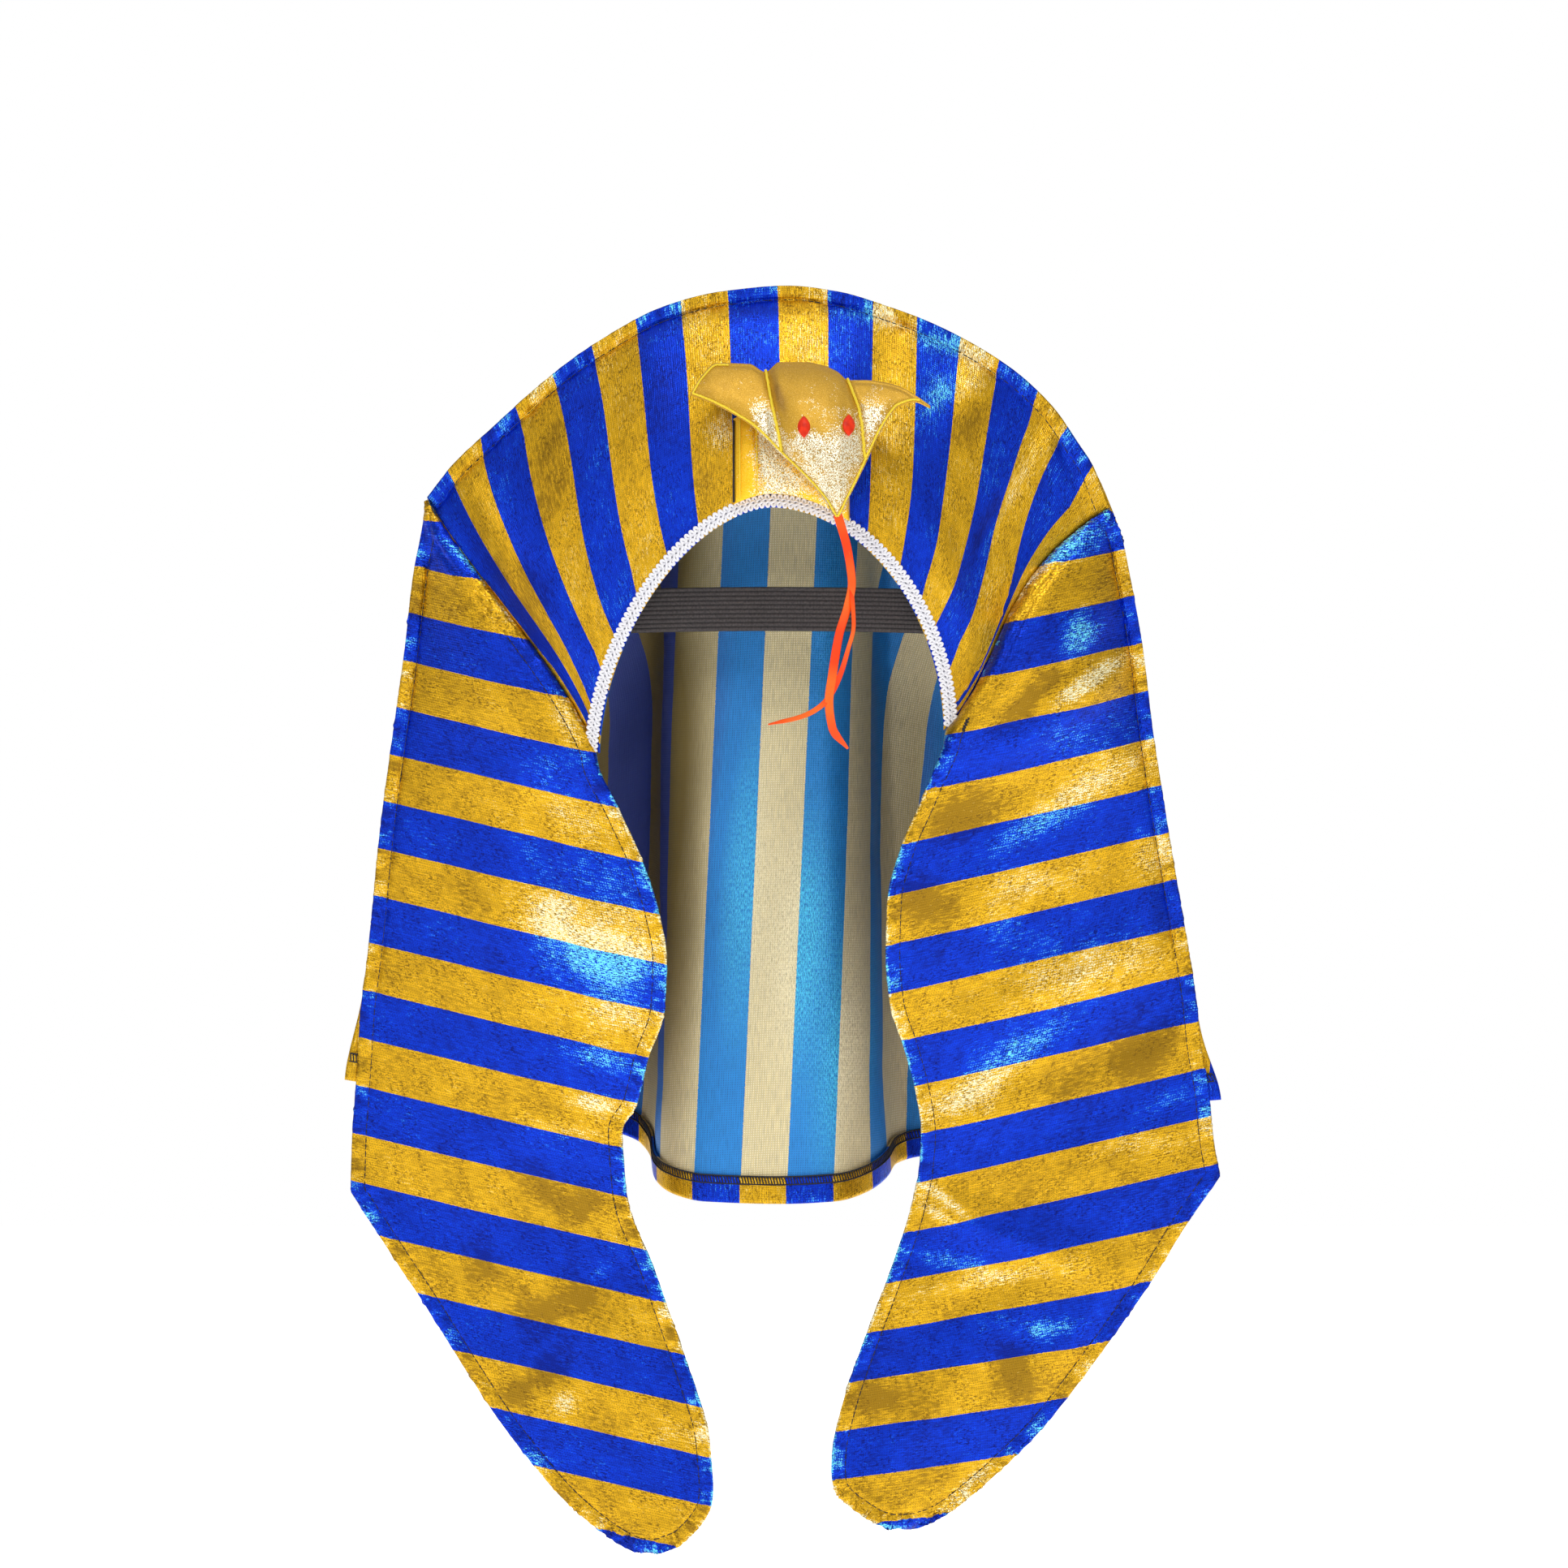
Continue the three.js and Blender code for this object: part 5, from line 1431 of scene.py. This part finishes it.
def cobra_head():
    at, across = np.meshgrid(np.linspace(0, 1, 190), (1 - np.cos(np.linspace(0, math.pi, 66))) / 2)
    front = cobra_sheet(at, across, -1)
    back = cobra_sheet(at, across, 1)
    x, z = front[..., 0], front[..., 2]
    edge = np.minimum(across, 1 - across) * (cobra_bottom(at) - cobra_top(at)) * COBRA_HEIGHT
    inner = smooth(0.5, 5, edge)
    push = crumple(7, x, z, 13, 0.55) * inner
    for line in cobra_lines():
        push -= 2.1 * bell(polyline_distance(x, z, line) / 1.5)
    push -= 0.5 * bell((edge - 1.3) / 0.7)
    front[..., 1] -= push
    # Painted glitter highlights and painted shade of the cobra head
    shine = glints("cobra", x, z)
    item = two_sided("cobra_head_pad", front, back, HEAD_GLITTER, "gold_lame", shine=(shine, 0.3 * shine))
    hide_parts("cobra_head")
    normals = grid_normals(front)
    outline = np.concatenate([front[-1], front[0, ::-1]])
    sew_cobra("cobra_edge_thread", outline, 1.1, front, normals)
    for i, line in enumerate(cobra_lines()):
        sew_line(f"cobra_seam_thread_{i + 1}", line, front, normals, 1.4, YELLOW_THREAD)


def sew_cobra(name, outline, inset, points, normals):
    """Thread inside the lower edges and round the end of the left wing."""
    path = inset_path(outline, inset, 0.8)
    at = (path[:, 0] - COBRA_X) / COBRA_WIDTH
    turn = np.argmax(path[:, 0])
    wing_end = path[turn:][at[turn:] < 0.16]
    path = np.concatenate([wing_end, path[:turn]])
    sew(name, path, points, normals, 1.5, 1.9, 1.0, 0.3, YELLOW_THREAD, "gold_lame")


def sew_line(name, line, points, normals, width, material):
    """Thick thread along a line of the front view."""
    steps = np.linspace(0, 1, 60) * (len(line) - 1)
    path = interp_points(steps, np.arange(len(line)), line)
    sew(name, path, points, normals, 1.2, 1.6, width, 0.5, material, "gold_lame")


def cobra_depth(x, z, side):
    at = np.clip((x - COBRA_X) / COBRA_WIDTH, 0, 1)
    fall = (COBRA_TOP_Z - z) / COBRA_HEIGHT
    across = np.clip((fall - cobra_top(at)) / (cobra_bottom(at) - cobra_top(at)), 0, 1)
    return cobra_sheet(at, across, side)[..., 1]


def brow_floor(x):
    """Height of the brow edge above a place across the opening."""
    along = np.linspace(-1, 1, 2001)
    edge_x, edge_z = brow_point(along)
    return np.interp(x, edge_x, edge_z)


# The first, dark row is a painted shadow line beside the neck's left edge; the two yellow rows are threads
NECK_SHADOW_AND_THREADS = ((1, 0.9, DARK_THREAD), (5, 0.5, YELLOW_THREAD), (16, 0.5, YELLOW_THREAD))


def cobra_neck():
    u, v = np.meshgrid(np.linspace(0, 1, 80), np.linspace(0, 1, 64))
    x = NECK_X + u * NECK_WIDTH
    low = brow_floor(x) + BRAID_WIDTH * 0.72
    z = lerp(low + NECK_HEIGHT * 0.9 + BRAID_WIDTH * 0.35, low, v)
    back_y = crown_depth(x, z) - CLOTH * 0.75 - CLEARANCE
    inset = lerp(0.05, 0.95, v)
    dome = np.maximum(0, 4 * u * (1 - u)) ** 0.35 * (4 * inset * (1 - inset)) ** 0.3
    padded = back_y - 1 - NECK_PAD * dome
    behind_head = cobra_depth(x, z, 1) + CLEARANCE * 3
    y = np.minimum(back_y - 1, np.maximum(padded, behind_head))
    fold_x = NECK_X + 9.5 + 2 * v
    y = y + 1.1 * bell((x - fold_x) / 1.2) - crumple(15, x, z, 9, 0.4) * smooth(0, 0.1, u)
    y = np.minimum(y, back_y - 0.4)
    front = stack(x, y, z)
    back = stack(x, back_y, z)
    # Painted glitter highlights and painted shade of the neck
    shine = glints("cobra", x, z)
    item = two_sided("cobra_neck_pad", front, back, NECK_GLITTER, "gold_lame", shine=(shine, 0 * shine))
    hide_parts("cobra_body")
    normals = grid_normals(front)
    for i, (column, width, material) in enumerate(NECK_SHADOW_AND_THREADS):
        line = front[2:-2, column][:, [0, 2]]
        sew_line(f"cobra_neck_thread_{i + 1}", line, front, normals, width, material)


def eye(row):
    u, v = np.meshgrid(np.linspace(0, 1, 21), np.linspace(0, 1, 27))
    share = 2 * v - 1
    half = 0.04 + 0.96 * (1 - share * share)
    x = COBRA_X + row["at"] * COBRA_WIDTH + (u - 0.5) * EYE_WIDTH * half
    z = COBRA_TOP_Z - row["fall"] * COBRA_HEIGHT - share * EYE_HEIGHT / 2
    seat = cobra_depth(x, z, -1)
    dome = np.maximum(0, 4 * u * (1 - u)) * np.maximum(0, 4 * v * (1 - v))
    front = stack(x, seat - CLEARANCE - 0.3 - EYE_PAD * np.sqrt(dome), z)
    item = two_sided(row["node"] + "_gloss", front, stack(x, seat + 0.6, z), EYE_RED, "red_eye")
    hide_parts(row["node"])


def curve_through(points, count):
    """Smooth path through a few places."""
    knots = arc_along(points)
    rows = [dict(place=k, x=p[0], y=p[1], z=p[2]) for k, p in zip(knots, points)]
    at = np.linspace(0, knots[-1], count)
    return np.stack([table_curve(rows, "place", axis)(at) for axis in "xyz"], 1)


def strand(rows, length, width, start, twist):
    """Points, faces and marks of one flat ribbon that turns a little as it hangs."""
    corners = np.array([
        start + np.array([row["aside"] * length * 0.35, row["drop"] * 6, -row["drop"] * length])
        for row in rows
    ])
    path = curve_through(corners, 90)
    v = np.linspace(0, 1, len(path))
    tangent = unit(np.gradient(path, axis=0))
    aside = unit(np.stack([-tangent[:, 2], 0 * v, tangent[:, 0]], 1))
    turn = twist * np.sin(v * math.pi * 1.5)[:, None]
    flat = aside * np.cos(turn) + np.array([0.0, 1.0, 0.0]) * np.sin(turn)
    normal = unit(np.cross(tangent, flat))
    half = width / 2 * np.where(v > 0.93, lerp(1, 0.25, (v - 0.93) / 0.07), 1)
    u = np.linspace(-1, 1, 7)
    grid = path[:, None] + flat[:, None] * (u[None, :] * half[:, None])[..., None]
    wall = 0.16
    near = grid - normal[:, None] * wall
    far = grid + normal[:, None] * wall
    points = np.concatenate([near.reshape(-1, 3), far.reshape(-1, 3)])
    ribs = np.tile(u, len(path) * 2)
    return points, grid_faces(*grid.shape[:2]), ribs, np.tile(np.repeat(v * length, len(u)), 2)


def tongue():
    snout = max(COBRA_ROWS, key=lambda row: row["bottom"])
    tip = cobra_middle(np.array(snout["at"]), np.array(snout["bottom"]))
    start = tip + np.array([0, 0, 2.0])
    pieces = [
        strand(STRAND_ROWS, TONGUE_LENGTH, RIBBON_WIDTH, start, 0.5),
        strand(FORK_ROWS, FORK_LENGTH, FORK_WIDTH, start, 0.9),
    ]
    points, faces = join_shapes([piece[:2] for piece in pieces])
    marks = {
        "rib": np.concatenate([piece[2] for piece in pieces]),
        "along": np.concatenate([piece[3] for piece in pieces]),
    }
    item = new_object("tongue_ribbon", points, faces, ORANGE_SATIN, "orange_ribbon", marks)
    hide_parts("tongue")


# Stage, light and camera
FLOOR_Z = -0.62
VIEW_X = -0.0007
VIEW_Z = -0.2068
VIEW_WIDTH = 0.6762
CAMERA_DISTANCE = 12.0
WORLD_LOW = 0.25
WORLD_HIGH = 0.6
SENSOR = 36.0


def floor():
    mesh = bpy.data.meshes.new("floor")
    reach = 14.0
    corners = [(a * reach, b * reach, FLOOR_Z) for a, b in ((-1, -1), (1, -1), (1, 1), (-1, 1))]
    mesh.from_pydata(corners, [], [(0, 1, 2, 3)])
    mesh.materials.append(material_nodes("pale_floor").surface(
        Base_Color=(0.9, 0.9, 0.9, 1), Roughness=0.9, Emission_Color=(1, 1, 1, 1), Emission_Strength=0.8,
    ))
    in_scene("floor", mesh)


def soft_box(name, place, target, size, power):
    data = bpy.data.lights.new(name, "AREA")
    data.shape = "RECTANGLE"
    data.size, data.size_y = size
    data.energy = power
    item = in_scene(name, data)
    item.location = place
    aim = np.array(target) - np.array(place)
    yaw = math.atan2(aim[0], -aim[1])
    tilt = math.atan2(math.hypot(aim[0], aim[1]), -aim[2])
    item.rotation_euler = (tilt, 0, yaw + math.pi)


def studio():
    world = bpy.data.worlds.new("studio")
    bpy.context.scene.world = world
    world.use_nodes = True
    tree = world.node_tree
    place = tree.nodes.new("ShaderNodeTexCoord")
    split = tree.nodes.new("ShaderNodeSeparateXYZ")
    ramp = tree.nodes.new("ShaderNodeMapRange")
    ramp.inputs["From Min"].default_value = -0.2
    ramp.inputs["From Max"].default_value = 0.8
    ramp.inputs["To Min"].default_value = WORLD_LOW
    ramp.inputs["To Max"].default_value = WORLD_HIGH
    seen = tree.nodes.new("ShaderNodeLightPath")
    mix = tree.nodes.new("ShaderNodeMix")
    mix.inputs["B"].default_value = 1.0
    background = tree.nodes["Background"]
    background.inputs["Color"].default_value = (1, 1, 1, 1)
    tree.links.new(place.outputs["Generated"], split.inputs[0])
    tree.links.new(split.outputs["Z"], ramp.inputs["Value"])
    tree.links.new(seen.outputs["Is Camera Ray"], mix.inputs["Factor"])
    tree.links.new(ramp.outputs[0], mix.inputs["A"])
    tree.links.new(mix.outputs[0], background.inputs["Strength"])
    middle = (0, 0, -0.25)
    soft_box("key_light", (-1.7, -2.3, 1.1), middle, (0.35, 0.6), 10.5)
    soft_box("fill_light", (2.0, -2.1, 0.5), middle, (0.3, 0.9), 8)
    soft_box("front_light", (-0.15, -2.9, 0.9), middle, (0.25, 0.25), 4)
    soft_box("top_light", (0.1, -0.9, 2.0), middle, (1.2, 0.3), 18)
    soft_box("back_light", (-0.8, 2.6, 0.9), middle, (0.9, 0.9), 14)
    bpy.context.scene.view_settings.view_transform = "Standard"
    bpy.context.scene.view_settings.look = "None"


def camera():
    data = bpy.data.cameras.new("camera")
    data.sensor_width = SENSOR
    data.lens = SENSOR * CAMERA_DISTANCE / VIEW_WIDTH
    data.clip_end = 100
    item = in_scene("camera", data)
    item.location = (VIEW_X, -CAMERA_DISTANCE, VIEW_Z)
    item.rotation_euler = (math.pi / 2, 0, 0)
    bpy.context.scene.camera = item


camera()
studio()
floor()
back_panel()
crown_front()
for name in SIDES:
    lappet(name)
brow_braid()
elastic_band()
cobra_head()
cobra_neck()
for row in EYES:
    eye(row)
tongue()
